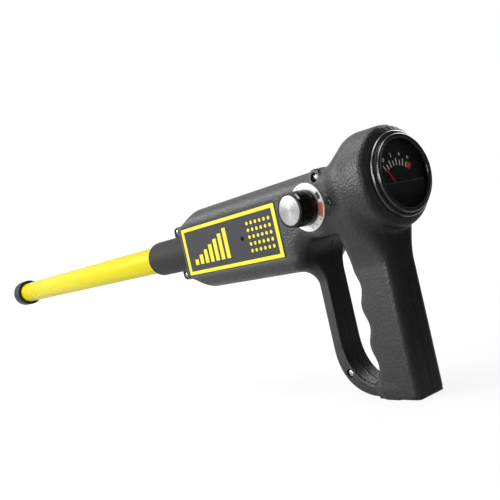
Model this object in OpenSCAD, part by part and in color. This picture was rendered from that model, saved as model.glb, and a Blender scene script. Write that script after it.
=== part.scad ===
// Hand-held cable locator: a two-shell housing with a closed pistol grip, a signal gauge at the back,
// a sensitivity knob on the left side and a long antenna tube in front.
// X runs along the antenna with the tip toward -X, -Y is the knob side, Z is up.
// The origin is the middle of the flat grip base.

/* [Housing] */
// Height of the antenna axis above the grip base
axis_h = 137.5; // [134:0.5:146]
// Width of the housing across its flat sides
body_w = 66; // [64:1:72]
// Height of the barrel
body_h = 71; // [70:1:78]
// Drop of the barrel's middle below the antenna axis
body_drop = 1; // [0:0.5:2]
// Radius of the barrel's long edges
edge_r = 11; // [9:0.5:13]
// Wall of the two shells
wall = 3; // [2.4:0.1:3.4]
// Distance from the grip's middle forward to the flat nose
nose_x = 208; // [204:1:225]
// Length of the slopes behind the nose
nose_slope = 18; // [16:1:40]
// Reach of the screw ears ahead of the nose
ear_reach = 5.5; // [5.5:0.5:8]
// Radius of the screw ears
ear_r = 4.6; // [4.4:0.1:5.6]
// Height of the upper ears above the antenna axis
ear_up = 19.6; // [19.4:0.1:21]
// Depth of the lower ears below the antenna axis
ear_down = 21; // [19.6:0.1:22]

/* [Gauge pod] */
// Radius of the pod
pod_r = 36; // [35:0.1:38]
// Height of the pod's axis above the antenna axis
pod_lift = 16.7; // [16:0.1:18]
// Place of the pod's rim along X
pod_rim_x = 25.5; // [24:0.5:28]
// Length of the pod from rim to front
pod_len = 31.5; // [31:0.5:35]
// Radius of the pod's rounded front shoulder
pod_shoulder = 12; // [9:0.5:13]
// Growth of the pod's radius from its rim to its front shoulder
pod_taper = 1; // [0:0.1:1.4]
// Depth of the cone behind the rim
pod_cone = 3.6; // [3:0.1:5]

/* [Grip and guard] */
// Width of the grip
grip_w = 32; // [31.6:0.2:36]
// Radius of the grip's bottom edge
base_edge = 2.4; // [1:0.2:3.4]
// Place of the grip's back along X
grip_back = 15.8; // [15.5:0.1:19]
// Distance from the grip's middle forward to the finger ridges
grip_ridge = 22.8; // [22:0.1:26]
// Depth of the finger grooves
groove_depth = 3.8; // [1.5:0.1:4.4]
// Distance from one finger groove to the next
groove_pitch = 29; // [27:0.5:30]
// Height of the first groove above the base
groove_z = 24.5; // [22:0.5:27]
// Height of the neck that widens from grip to housing
neck_h = 30; // [26:1:34]
// Distance from the grip's middle forward to the guard's rear face
guard_x = 52.5; // [50:0.5:60]
// Thickness of the guard
guard_t = 10; // [9:0.1:11]
// Width of the guard
guard_w = 22; // [20:0.5:26]
// Radius between guard and barrel
guard_fillet = 18; // [14:0.5:22]
// Thickness of the guard where it meets the grip base
guard_foot = 8.5; // [8:0.5:12]
// Depth of the finger window's top below the antenna axis
window_drop = 14; // [12:0.5:16]

/* [Antenna] */
// Outside radius of the antenna tube
tube_r = 14; // [13:0.1:15]
// Wall of the antenna tube
tube_wall = 1.8; // [1.4:0.1:2.4]
// Distance from the nose to the end of the tube
tube_reach = 526; // [450:1:560]
// Outside radius of the collar
collar_r = 17.6; // [17:0.1:19]
// Length of the collar ahead of the nose
collar_len = 96; // [70:1:110]
// Outside radius of the tip cap
cap_r = 18.2; // [16.8:0.1:19]
// Length of the tip cap
cap_len = 24; // [12:0.5:28]

/* [Control knob] */
// Distance from the grip's middle forward to the knob
knob_x = 32.6; // [31:0.1:36]
// Height of the knob above the antenna axis
knob_up = 9.7; // [8:0.1:11]
// Radius of the dial plate
plate_r = 17.7; // [16.5:0.1:19]
// Radius of the knob at its base
knob_r = 13.2; // [12:0.1:14]
// Radius of the metal disc in the knob's face
disc_r = 10.8; // [9:0.1:11]
// Distance from the housing's side to the knob's face
knob_reach = 17.7; // [16.5:0.1:20]
// Radius of the control shaft
shaft_r = 3; // [2.5:0.1:3.2]

/* [Gauge] */
// Radius of the gauge's can
can_r = 25.9; // [25:0.1:26.4]
// Length of the gauge's can
can_len = 33; // [30:0.5:33.5]
// Radius of the bezel's flange
bezel_r = 30; // [29:0.1:30.2]
// Radius of the bezel's raised ring
ring_r = 27.3; // [27:0.1:28.4]
// Drop of the needle's pivot below the gauge's centre
pivot_drop = 14; // [13:0.5:15]
// Length of the needle from its pivot
needle_len = 23.3; // [20:0.1:24]
// Lean of the needle to the left of upright
needle_lean = 33.6; // [30:0.2:36]

/* [Label and sounder] */
// Length of the label
label_len = 136.7; // [120:0.1:138]
// Height of the label
label_h = 43.8; // [40:0.1:45]
// Distance from the grip's middle forward to the label's back edge
label_x = 68; // [67:0.5:70]
// Drop of the label's middle below the antenna axis
label_drop = 1; // [0:0.2:2]
// Distance from the grip's middle forward to the sounder
sounder_x = 116; // [110:1:122]
// Radius of the sounder
sounder_r = 14; // [11:0.5:16]

/* [Hidden] */
$fn = 64;
eps = 0.01;
gap = 0.15;          // clearance round pieces that are set into one another
run = 0.05;          // radial running clearance of a turning shaft
part_gap = 0.3;      // room between pieces that turn past one another

body_z0 = axis_h - body_drop - body_h / 2;
body_z1 = body_z0 + body_h;
side_y = body_w / 2;
lug_len = 5;                       // length of the level lugs behind the nose
lug_x = nose_x - lug_len;
slope_x = lug_x - nose_slope;
slope_wall = 1.1 * wall;
ear_high = axis_h + ear_up + ear_r;
ear_low = axis_h - ear_down - ear_r;
pod_front = pod_rim_x - pod_len;
barrel_back = pod_front + pod_shoulder - 1;
room_back = pod_front + wall + 2;
window_top = axis_h - window_drop;
ceiling = window_top + wall;
window_r = 15;
nose_wall = wall + 1;
collar_flange = 4;
flange_r = min(ear_up, ear_down) + ear_r - slope_wall - part_gap;
pod_h = axis_h + pod_lift;
pod_back = pod_rim_x + pod_cone;
pod_rim_r = 2.5;                   // length of the rim's rounding on each side of its corner
neck_z1 = window_top + 9.5;
neck_z0 = neck_z1 - neck_h;
guard_out = guard_x + guard_t;
guard_root = 22;                   // place of the guard's foot ahead of the grip's middle
bend_o = 38;                       // height of the guard's lower outer bend
bend_i = bend_o + 6;
bend_power = 0.87;                 // below 1 the bends are squarer than an ellipse
neck_reach = 22;                   // growth of the neck forward under the deck
label_t = 0.6;
label_sink = 0.4;
label_z = axis_h - label_drop;

// Battery bay in the grip, sized for block batteries of 26.5 x 17.5 x 48.5
cell_w = 26.5;
cell_d = 17.5;
cell_h = 48.5;
bay_hw = cell_w / 2 + 0.25;
bay_x = 13.5;
door_t = 3;
door_hw = bay_hw + 0.7;
door_front = grip_ridge + 1.2;
door_back = bay_x + 1.1;
door_screw_x = bay_x + 4;
door_screw_y = 9;
tray_t = 1.6;
tray_x = cell_d / 2 + 0.4;
snap_t = 2.2;
cell_pitch = cell_h + snap_t + gap + tray_t;
bay_spare = 3.9;                   // room above the top shelf
bay_room = pod_h - can_r - wall - door_t - tray_t - bay_spare;
cell_count = max(1, floor(bay_room / cell_pitch));
bay_top = door_t + tray_t + cell_count * cell_pitch + bay_spare;

// Case screws: [x, z, depth of the head's seat below the left side, half width of the housing there]
case_screws = [
  [-nose_x - ear_reach, axis_h + ear_up, 3, side_y],
  [-nose_x - ear_reach, axis_h - ear_down, 3, side_y],
  [-20, body_z1 - 5.7, 4, side_y],
  [-guard_x + 2.2, 17.5, 2.4, guard_w / 2]
];
head_r = 2.6;
head_h = 2;
pocket_r = head_r + 0.8;
screw_r = 1.5;
boss_r = 4.5;
rim_boss_r = 6;                    // radius of the raised boss round the upper rear screw

knob_z = axis_h + knob_up;
plate_t = 0.8;
plate_y = side_y + plate_t;
knob_base_y = plate_y + 1.2;
knob_face_y = side_y + knob_reach;
bushing_r = shaft_r + 1.5;
pot_r = 12;
pot_depth = 11;
nut_h = 2.4;
nut_r = bushing_r + 3;
index_turn = 40;
pod_screw_x = 11;
pod_screw_y = side_y - 1.4;

seat_x = pod_back;                 // face that carries the gauge's flange
gasket_t = 0.6;
flange_x = seat_x + gasket_t;
flange_t = 2.8;
lip_r = can_r - 2.1;
lip_h = 5.4;
glass_x = flange_x + 1.1;
glass_t = 1.5;
can_wall = 0.9;
can_front = glass_x - can_len;
dial_r = can_r - can_wall - gap;
dial_x = flange_x - 1.8;
dial_t = 0.8;
needle_x = dial_x + 0.7;
needle_t = 0.5;
mask_x = needle_x + needle_t + 0.5;
mask_t = 0.7;
mask_line = 5;
pivot_z = pod_h - pivot_drop;
spindle_r = 1;
move_len = 17;
move_w = 20;
move_up = 9;
clamp_w = 12;
clamp_t = 1.5;
clamp_x = can_front - 3;
clamp_hw = can_r + 2.6;
stud_r = 2;
stud_y = 10;

board_h = 50;
board_t = 1.6;
board_y = 8;
board_x = -nose_x + 24;
board_clear = 27.5;                // room for the leads behind the board
board_len = -board_x - guard_x - board_clear;
board_z = label_z;
post_in = 6;
post_r = 4;
board_screw_len = 10;
board_head_h = 1.8;
coil_w = 10;                       // shielded coil, square in plan
coil_t = 12;
chip_w = 7;                        // integrated circuit
chip_t = 4;
chip_h = 18;
capacitor_r = 3.5;                      // smallest capacitor
capacitor_h = 10;
lead_bend = 12;                    // where the leads turn, ahead of the guard

rod_r = 5;
rod_len = 180;
rod_x = -nose_x - tube_reach + 16;
tube_in = 14;                      // length of tube inside the housing

// Placement helpers

// Local Z points out of the left side, local Y stays up
module on_left(x, z, y) {
  translate([x, -y, z]) rotate([90, 0, 0]) children();
}

// Local Z runs along +X
module along_x(x, z, y = 0) {
  translate([x, y, z]) rotate([0, 90, 0]) children();
}

// A side view (x, z) made w wide across Y
module across(w) {
  rotate([90, 0, 0]) linear_extrude(w, center = true) children();
}

// A section (y, z) carried from x0 to x1
module along_section(x0, x1) {
  translate([x0, 0, 0]) rotate([90, 0, 90]) linear_extrude(x1 - x0) children();
}

module ring(r_out, r_in, h) {
  difference() {
    cylinder(r = r_out, h = h);
    translate([0, 0, -1]) cylinder(r = r_in, h = h + 2);
  }
}

module round_square(w, h, r) {
  square([w - 2 * r, h], center = true);
  square([w, h - 2 * r], center = true);
  for (sx = [-1, 1], sy = [-1, 1])
    translate([sx * (w / 2 - r), sy * (h / 2 - r)]) circle(r);
}

// Points of an arc from angle a0 to a1
function arc(c, r, a0, a1, n = 8) =
  [for (i = [0:n]) let (a = a0 + (a1 - a0) * i / n) c + r * [cos(a), sin(a)]];

// Lofts: rings of points joined into one closed skin

function unit(v) = v / norm(v);
function smooth(t) = t <= 0 ? 0 : t >= 1 ? 1 : t * t * (3 - 2 * t);
function bezier(a, b, c, t) = a * (1 - t) * (1 - t) + 2 * b * t * (1 - t) + c * t * t;
function rounded_corner(c, a, b, r, n) =
  [for (i = [0:n]) bezier(c + r * unit(a - c), c, c + r * unit(b - c), i / n)];
function rounded_quad(q, r, n) =
  [for (k = [0:3]) each rounded_corner(q[k], q[(k + 3) % 4], q[(k + 1) % 4], r[k], n)];

module loft(rings) {
  n = len(rings[0]);
  m = len(rings);
  polyhedron(
    points = [for (r = rings) each r],
    faces = concat(
      [[for (j = [0:n - 1]) j]],
      [for (i = [0:m - 2], j = [0:n - 1]) [i * n + j, (i + 1) * n + j, (i + 1) * n + (j + 1) % n]],
      [for (i = [0:m - 2], j = [0:n - 1]) [i * n + j, (i + 1) * n + (j + 1) % n, i * n + (j + 1) % n]],
      [[for (j = [n - 1:-1:0]) (m - 1) * n + j]]
    )
  );
}

// A round lead of radius r along a route
function lead_dir(p, i) = unit(p[min(i + 1, len(p) - 1)] - p[max(i - 1, 0)]);
function lead_ring(c, d, r) =
  let (s = unit(cross(d, abs(d[1]) < 0.9 ? [0, 1, 0] : [1, 0, 0])), u = cross(d, s))
  [for (a = [0:45:315]) c + r * (cos(a) * s + sin(a) * u)];

module lead(route, r) {
  loft([for (i = [0:len(route) - 1]) lead_ring(route[i], lead_dir(route, i), r)]);
}

// Housing forms

// Side view of the barrel: level lugs with round ears, slopes, flat top, underside cut away above the grip
module barrel_side() {
  difference() {
    union() {
      polygon([
        [-lug_x, ear_low], [-slope_x, body_z0], [barrel_back, body_z0],
        [barrel_back, body_z1], [-slope_x, body_z1], [-lug_x, ear_high]]);
      translate([-nose_x - ear_reach, ear_low]) square([ear_reach + lug_len + eps, ear_high - ear_low]);
      for (z = [ear_low + ear_r, ear_high - ear_r])
        translate([-nose_x - ear_reach, z]) circle(ear_r);
    }
    translate([-nose_x - ear_reach - ear_r - 1, ear_low + 2 * ear_r])
      square([ear_reach + ear_r + 1, ear_high - ear_low - 4 * ear_r]);
    window_side();
  }
}

// The finger window's side view: round top corner at the guard, open toward the grip
module window_side() {
  r = window_r;
  back = barrel_back + 1;
  hull() {
    translate([-guard_x + r, window_top - r]) circle(r);
    translate([-guard_x, window_top - body_h]) square([guard_x + back, r]);
    translate([0, window_top - r]) square([back, r]);
  }
}

module barrel_section(inset, z0 = body_z0) {
  translate([0, (z0 + body_z1) / 2])
    round_square(body_w - 2 * inset, body_z1 - z0 - 2 * inset, edge_r - inset);
}

// The barrel keeps its full depth as far as the guard, and a shallower round-edged deck goes on to the pod
module barrel_form() {
  intersection() {
    across(body_w + 2) barrel_side();
    along_section(-nose_x - ear_reach - ear_r - 1, -guard_x + window_r) barrel_section(0);
  }
  along_section(-guard_out - window_r, barrel_back) barrel_section(0, window_top);
}

// Half outline of the pod turned about its axis, with the front shoulder as an arc
module pod_turned(inset, back) {
  r = pod_shoulder - inset;
  c_r = pod_r + pod_taper - pod_shoulder;
  c_x = pod_front + pod_shoulder;
  along_x(0, pod_h)
    rotate_extrude()
      polygon(concat(
        [[0, c_x - r]],
        arc([c_r, c_x], r, -90, 0, 12),
        back));
}

module pod_form() {
  rim = [pod_r, pod_rim_x];
  lip = [bezel_r + part_gap, pod_back];
  pod_turned(0, concat(
    rounded_corner(rim, [pod_r + pod_taper, pod_front], lip, pod_rim_r, 4),
    [lip, [0, pod_back]]));
}

function grip_hw(z) = grip_w / 2 + (side_y - 0.4 - grip_w / 2) * smooth((z - neck_z0) / neck_h);
function grip_wave(z) = z > groove_z + 2.5 * groove_pitch ? 0
  : groove_depth * (0.5 + 0.5 * cos(360 * (z - groove_z) / groove_pitch));
function grip_front(z) = grip_ridge - grip_wave(z) + neck_reach * smooth((z - window_top + 8) / 16);
function grip_ring(z, inset) =
  let (w = grip_hw(z) - inset, f = grip_front(z) - inset, b = grip_back - inset)
  rounded_quad(
    [[b, -w, z], [b, w, z], [-f, w, z], [-f, -w, z]],
    [8, 8, 10, 10] + 12 * smooth((z - neck_z0) / neck_h) * [1, 1, 0, 0], 6);

// The grip grows from a rounded block with three finger grooves into a neck as wide as the housing
module grip_form() {
  z_top = window_top + 27;
  loft(concat(
    [for (a = [0:30:90]) grip_ring(base_edge * (1 - cos(a)), base_edge * (1 - sin(a)))],
    [for (i = [1:34]) grip_ring(base_edge + (z_top - base_edge) * i / 34, 0)]));
}

// One cross section of the guard between an outer and an inner point of its side view
function guard_ring(o, i, wo, wi) =
  rounded_quad(
    [[o[0], -wo, o[1]], [o[0], wo, o[1]], [i[0], wi, i[1]], [i[0], -wi, i[1]]],
    [1, 1, 1, 1] * min(2.2, norm(o - i) / 2 - 0.1), 3);

function guard_flare(t) = guard_w / 2 + (side_y - 3 - guard_w / 2) * pow(1 - smooth(t), 1.5);

// Point of a bend that starts upright at x1 and ends level at height z0 and x0
function bend_point(a, x0, x1, z0, z1) =
  [-x0 - (x1 - x0) * pow(cos(a), bend_power), z1 - (z1 - z0) * pow(sin(a), bend_power)];

// The guard flares out of the barrel, drops straight and sweeps round into the grip base
module guard_form() {
  z_f = body_z0 - guard_fillet;
  loft(concat(
    [guard_ring([-guard_out - guard_fillet, body_z0 + 14], [-guard_x, window_top - 2], 14, side_y - 4)],
    [for (a = [0:15:90])
      guard_ring(
        [-guard_out - guard_fillet * (1 - sin(a)), z_f + guard_fillet * cos(a)],
        [-guard_x, z_f + (window_top - 6 - z_f) * (1 - a / 90)],
        guard_w / 2 + 6 * (1 - smooth(a / 90)), guard_flare(a / 90))],
    [for (i = [1:2])
      guard_ring(
        [-guard_out, z_f + (bend_o - z_f) * i / 3],
        [-guard_x, z_f + (bend_i - z_f) * i / 3], guard_w / 2, guard_w / 2)],
    [for (a = [0:9:90])
      guard_ring(
        bend_point(a, guard_root, guard_out, 0, bend_o),
        bend_point(a, guard_root - 2, guard_x, guard_foot, bend_i),
        guard_w / 2, guard_w / 2)],
    [guard_ring([-6, 0], [-6, guard_foot], guard_w / 2, guard_w / 2)]));
}

module housing_form() {
  barrel_form();
  pod_form();
  grip_form();
  guard_form();
}

// Side view of the room in the barrel, a wall's thickness inside the slopes and above the finger window
module room_side() {
  x0 = -nose_x + nose_wall;
  x1 = -guard_out - wall;
  polygon([
    [x0, ear_low + slope_wall], [x0, ear_high - slope_wall], [-lug_x, ear_high - slope_wall],
    [-slope_x, body_z1 - slope_wall], [room_back + 1, body_z1 - slope_wall], [room_back + 1, ceiling],
    [x1, ceiling], [x1, body_z0 + slope_wall], [-slope_x, body_z0 + slope_wall],
    [-lug_x, ear_low + slope_wall]]);
}

// Room inside the two shells
module housing_room() {
  intersection() {
    along_section(-nose_x + nose_wall, room_back) barrel_section(wall);
    across(body_w) room_side();
  }
  pod_turned(wall, [[pod_r - wall, pod_rim_x - 0.5], [0, pod_rim_x - 0.5]]);
  along_x(0, pod_h) cylinder(r = can_r + gap, h = pod_back + 1);
  // battery bay with its throat up to the barrel
  translate([-bay_x, -bay_hw, -1]) cube([2 * bay_x, 2 * bay_hw, bay_top + 1]);
  translate([-bay_x, -9, bay_top - 1]) cube([bay_x + 8, 18, ceiling + 4 - bay_top]);
  // recess of the battery door
  translate([0, 0, -1])
    linear_extrude(door_t + 1)
      translate([(door_back - door_front) / 2, 0])
        round_square(door_back + door_front, 2 * door_hw, 3);
  // collar's hole through the nose
  along_x(-nose_x - ear_reach - ear_r - 1, axis_h)
    cylinder(r = collar_r + gap, h = ear_reach + ear_r + nose_wall + 2);
}

module half_space(side) {
  big = 2 * (nose_x + tube_reach);
  translate([-big / 2, side < 0 ? -big : 0, -big / 2]) cube(big);
}

module shell_half(side) {
  intersection() {
    difference() {
      housing_form();
      housing_room();
    }
    half_space(side);
  }
}

// Round boss from the side wall to the parting plane for the upper rear case screw
module rear_boss(side) {
  s = case_screws[2];
  translate([s[0], 0, s[1]])
    rotate([side < 0 ? 90 : -90, 0, 0])
      hull() {
        cylinder(r = boss_r, h = side_y - 4, $fn = 32);
        translate([0, side < 0 ? 3 : -3, 0]) cylinder(r = boss_r - 2, h = side_y - 4, $fn = 32);
      }
}

// Raised boss round the pocket of the upper rear case screw
module rim_boss() {
  s = case_screws[2];
  on_left(s[0], s[1], side_y - edge_r) cylinder(r = rim_boss_r, h = edge_r - 1);
}

// Post on the right wall that carries a corner of the circuit board
module board_post(p) {
  translate([p[0], board_y + board_t, p[1]])
    rotate([-90, 0, 0])
      cylinder(r1 = post_r, r2 = post_r + 1, h = side_y - wall / 2 - board_y - board_t);
}

board_corners = [
  for (x = [post_in, board_len - post_in], z = [-1, 1])
    [board_x + x, board_z + z * (board_h / 2 - post_in)]
];

// Ribs behind the collar's flange that keep it against the nose
module collar_rib(side) {
  x = -nose_x + nose_wall + collar_flange + gap;
  for (z = [-1, 1])
    translate([x, side * (side_y - wall / 2), axis_h + z * 8 - 3])
      mirror([0, side > 0 ? 1 : 0, 0]) cube([3, side_y - wall / 2 - tube_r - 4, 6]);
}

// Screw path: clearance and head pocket on the left, pilot hole on the right
module case_screw_cut(s) {
  on_left(s[0], s[1], s[3] - s[2]) {
    cylinder(r = pocket_r, h = side_y, $fn = 32);
    translate([0, 0, -s[3] - 12]) cylinder(r = screw_r + gap, h = s[3] + 13, $fn = 24);
  }
}

module left_shell() {
  color([0.20, 0.20, 0.21])
    difference() {
      union() {
        shell_half(-1);
        rear_boss(-1);
        rim_boss();
        collar_rib(-1);
        // ring that holds the sounder
        on_left(-sounder_x, axis_h - 1, side_y - wall - 3) ring(sounder_r + 2, sounder_r + gap, 4);
      }
      for (s = case_screws) case_screw_cut(s);
      // flat recess for the label
      translate([-label_x - label_len - gap, -side_y - 1, label_z - label_h / 2 - gap])
        cube([label_len + 2 * gap, 1 + label_sink, label_h + 2 * gap]);
      // sound hole and control bushing
      on_left(-sounder_x, axis_h - 1, side_y - wall - 1) cylinder(r = 1.8, h = wall + 2, $fn = 32);
      on_left(-knob_x, knob_z, side_y - wall - 1) cylinder(r = bushing_r + gap, h = wall + 2);
      // flat round seat of the dial plate
      on_left(-knob_x, knob_z, side_y) cylinder(r = plate_r + 0.8, h = 6);
      // pocket of the pod screw
      on_left(-pod_screw_x, knob_z - 0.7, pod_screw_y) cylinder(r = 2.2 + gap, h = 6, $fn = 32);
      on_left(-pod_screw_x, knob_z - 0.7, pod_screw_y - 1.4) cylinder(r = 1 + gap, h = 6, $fn = 32);
      door_screw_cut();
    }
}

module right_shell() {
  color([0.20, 0.20, 0.21])
    difference() {
      union() {
        shell_half(1);
        rear_boss(1);
        collar_rib(1);
        for (p = board_corners) board_post(p);
      }
      for (s = case_screws) case_screw_cut(s);
      for (p = board_corners)
        translate([p[0], board_y, p[1]]) rotate([-90, 0, 0]) cylinder(r = screw_r - 0.3, h = 12, $fn = 24);
      door_screw_cut();
    }
}

module door_screw_cut() {
  for (s = [-1, 1])
    translate([-door_screw_x, s * door_screw_y, -1]) cylinder(r = screw_r - 0.2 + gap, h = 14, $fn = 24);
}

// Pan-head screw standing on local z = 0, shank downward
module pan_screw(r, length, hr, hh) {
  difference() {
    union() {
      cylinder(r = hr, h = hh * 0.55);
      translate([0, 0, hh * 0.55]) cylinder(r1 = hr, r2 = hr * 0.7, h = hh * 0.45);
      translate([0, 0, -length]) cylinder(r = r, h = length + eps);
    }
    for (a = [0, 90])
      rotate(a) translate([-hr * 0.55, -0.35, hh * 0.5]) cube([hr * 1.1, 0.7, hh]);
  }
}

module case_screws() {
  color([0.80, 0.80, 0.78])
    for (s = case_screws)
      on_left(s[0], s[1], s[3] - s[2]) pan_screw(screw_r, s[3] - s[2] + 10, head_r, head_h);
}

module side_label() {
  color([0.29, 0.29, 0.31])
    difference() {
      translate([-label_x - label_len, -side_y + label_sink - label_t, label_z - label_h / 2])
        cube([label_len, label_t, label_h]);
      on_left(-sounder_x, axis_h - 1, side_y - 2) cylinder(r = 1.8, h = 4);
    }
}

// Antenna

module front_collar() {
  edge = 2.5;
  seat = collar_len + nose_wall;
  color([0.23, 0.23, 0.24])
    along_x(-nose_x - collar_len, axis_h)
      rotate_extrude()
        polygon(concat(
          [[tube_r + run, 0]],
          arc([collar_r - edge, edge], edge, -90, 0),
          [[collar_r, seat], [flange_r, seat]],
          [[flange_r, seat + collar_flange], [tube_r + run, seat + collar_flange]]));
}

module antenna_tube() {
  color([0.96, 0.92, 0.08])
    along_x(-nose_x - tube_reach, axis_h)
      ring(tube_r, tube_r - tube_wall, tube_reach + tube_in);
}

module tip_cap() {
  edge = 4;
  bead = 0.8;
  floor_t = 3;
  color([0.10, 0.10, 0.10])
    along_x(-nose_x - tube_reach - floor_t, axis_h)
      rotate_extrude()
        polygon(concat(
          [[0, 0]],
          arc([cap_r - edge, edge], edge, -90, 0),
          arc([cap_r - bead, cap_len - bead], bead, 0, 90),
          [[tube_r + run, cap_len], [tube_r + run, floor_t], [0, floor_t]]));
}

module ferrite_rod() {
  color([0.16, 0.15, 0.15]) along_x(rod_x, axis_h) cylinder(r = rod_r, h = rod_len);
}

module antenna_coil() {
  color([0.72, 0.42, 0.20])
    along_x(rod_x + rod_len / 4, axis_h) ring(rod_r + 2.2, rod_r + run, rod_len / 2);
}

module rod_spacers() {
  spacer = 7;
  color([0.85, 0.84, 0.78])
    for (k = [0, 1])
      along_x(rod_x + 12 + k * (rod_len - 24 - spacer), axis_h)
        difference() {
          ring(tube_r - tube_wall - gap, rod_r + run, spacer);
          translate([-rod_r - 4, 0, -1]) cylinder(r = 1.6, h = spacer + 2);
        }
}

// The coil's lead lies along the tube and turns to the board's front edge
antenna_route = [
  [rod_x + 0.75 * rod_len + 0.4, 0, axis_h + rod_r + 1.2],
  [rod_x + 0.75 * rod_len + 8, 0, axis_h + rod_r + 3],
  [rod_x + rod_len + 20, 0, axis_h + tube_r - tube_wall - 1.2],
  [-nose_x - 60, 0, axis_h + tube_r - tube_wall - 1.2],
  [-nose_x + tube_in - 4, 0, axis_h + tube_r - tube_wall - 1.2],
  [board_x - 6, 3, axis_h + 10],
  [board_x + 2, board_y - 1.1, axis_h + 9],
  [board_x + 8, board_y - 1.1, axis_h + 9]
];

module antenna_lead() {
  color([0.12, 0.12, 0.12]) lead(antenna_route, 0.9);
}

// Control knob

module dial_plate() {
  color([0.90, 0.90, 0.88])
    on_left(-knob_x, knob_z, side_y) ring(plate_r, bushing_r + gap, plate_t);
}

module knob_body() {
  depth = knob_face_y - knob_base_y;
  top_r = knob_r - 0.5;
  skirt = nut_h + 1.6;
  color([0.06, 0.06, 0.06])
    on_left(-knob_x, knob_z, knob_base_y)
      difference() {
        rotate_extrude()
          polygon([
            [0, 0], [knob_r - 0.4, 0], [knob_r, 0.4],
            [top_r + 0.15, depth - 3.4], [top_r - 0.45, depth - 3.2],
            [top_r - 0.45, depth - 2.6], [top_r + 0.1, depth - 2.4],
            [top_r, depth - 0.9], [top_r - 0.9, depth], [0, depth]]);
        translate([0, 0, -1]) cylinder(r = nut_r + 1.2, h = skirt + 1);
        translate([0, 0, -1]) cylinder(r = shaft_r + run, h = depth - 2);
        translate([0, 0, depth - 0.7]) cylinder(r = disc_r + run, h = 2);
        rotate(index_turn) translate([0, 0, depth - 2.1]) knob_mark(0.2);
        rotate(-60) translate([0, 0, skirt + 3]) rotate([0, 90, 0]) cylinder(r = 1.5 + run, h = knob_r + 1);
      }
}

// Pad inlaid in the knob's rim as its index
module knob_mark(room) {
  translate([knob_r - 1.9 - room, -2.4 - room, -0.3 * room])
    cube([3, 4.8 + 2 * room, 1.1 + 0.6 * room]);
}

module knob_index() {
  depth = knob_face_y - knob_base_y;
  color([0.92, 0.92, 0.92])
    on_left(-knob_x, knob_z, knob_base_y)
      intersection() {
        rotate(index_turn) translate([0, 0, depth - 2.1]) knob_mark(0);
        cylinder(r = knob_r - 0.35, h = depth);
      }
}

module knob_disc() {
  color([0.80, 0.80, 0.81])
    on_left(-knob_x, knob_z, knob_face_y - 0.7) cylinder(r = disc_r, h = 0.9);
}

module knob_set_screw() {
  color([0.35, 0.35, 0.36])
    on_left(-knob_x, knob_z, knob_base_y + nut_h + 1.6 + 3)
      rotate(-60)
        rotate([0, 90, 0])
          translate([0, 0, shaft_r + run])
            difference() {
              cylinder(r = 1.5, h = 5);
              translate([0, 0, 3.5]) cylinder(r = 0.8, h = 2, $fn = 6);
            }
}

module control_shaft() {
  color([0.75, 0.75, 0.74])
    on_left(-knob_x, knob_z, side_y - wall - pot_depth + 2)
      cylinder(r = shaft_r, h = knob_face_y - 3.2 - (side_y - wall - pot_depth + 2));
}

module control_body() {
  color([0.35, 0.33, 0.30])
    on_left(-knob_x, knob_z, side_y - wall - pot_depth)
      difference() {
        union() {
          cylinder(r = pot_r, h = pot_depth);
          translate([0, 0, pot_depth - eps]) cylinder(r = bushing_r, h = wall + plate_t + nut_h + 0.6);
          // solder tags
          for (k = [-1, 0, 1]) translate([k * 5 - 1.2, -pot_r - 5, 3]) cube([2.4, 7, 0.8]);
        }
        translate([0, 0, 1.5]) cylinder(r = shaft_r + run, h = pot_depth + wall + plate_t + nut_h + 3);
      }
}

module control_nut() {
  color([0.70, 0.70, 0.70])
    on_left(-knob_x, knob_z, plate_y)
      difference() {
        cylinder(r = nut_r, h = nut_h, $fn = 6);
        translate([0, 0, -1]) cylinder(r = bushing_r + run, h = nut_h + 2);
      }
}

module pod_screw() {
  color([0.08, 0.08, 0.08])
    on_left(-pod_screw_x, knob_z - 0.7, pod_screw_y) pan_screw(1, 1.2, 2.2, 1.2);
}

// Signal gauge

module gauge_bezel() {
  color([0.05, 0.05, 0.05])
    along_x(flange_x, pod_h)
      rotate_extrude()
        polygon([
          [can_r + run, 0], [bezel_r - 0.8, 0], [bezel_r, 0.8], [bezel_r, flange_t - 1],
          [bezel_r - 0.9, flange_t], [ring_r + 0.7, flange_t], [ring_r, flange_t + 0.6],
          [ring_r, lip_h - 1.2], [ring_r - 1, lip_h], [lip_r + 1.2, lip_h], [lip_r, lip_h - 1],
          [lip_r, glass_x - flange_x + glass_t], [can_r + run, glass_x - flange_x + glass_t]]);
}

module gauge_glass() {
  color([0.75, 0.82, 0.85, 0.35])
    along_x(glass_x, pod_h) cylinder(r = can_r, h = glass_t);
}

module gauge_can() {
  color([0.25, 0.25, 0.26])
    along_x(can_front, pod_h)
      difference() {
        cylinder(r = can_r, h = can_len);
        translate([0, 0, can_wall]) cylinder(r = can_r - can_wall, h = can_len);
        for (s = [-1, 1]) translate([0, s * stud_y, -1]) cylinder(r = stud_r + run, h = 4);
      }
}

module gauge_dial() {
  color([0.04, 0.04, 0.04])
    difference() {
      along_x(dial_x - dial_t, pod_h) cylinder(r = dial_r, h = dial_t);
      along_x(dial_x - dial_t - 1, pivot_z) cylinder(r = spindle_r + part_gap, h = dial_t + 2);
    }
}

// Cover over the pivot with a straight upper edge, on two feet that stand on the dial
module gauge_mask() {
  color([0.06, 0.06, 0.07])
    difference() {
      union() {
        along_x(mask_x, pod_h) cylinder(r = dial_r, h = mask_t);
        for (s = [-1, 1])
          along_x(dial_x, pod_h - mask_line - 5, s * (dial_r - 5))
            cylinder(r = 1.2, h = mask_x - dial_x + eps);
      }
      translate([mask_x - 1, -2 * dial_r, pod_h - mask_line]) cube([4, 4 * dial_r, 2 * dial_r]);
    }
}

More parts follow.
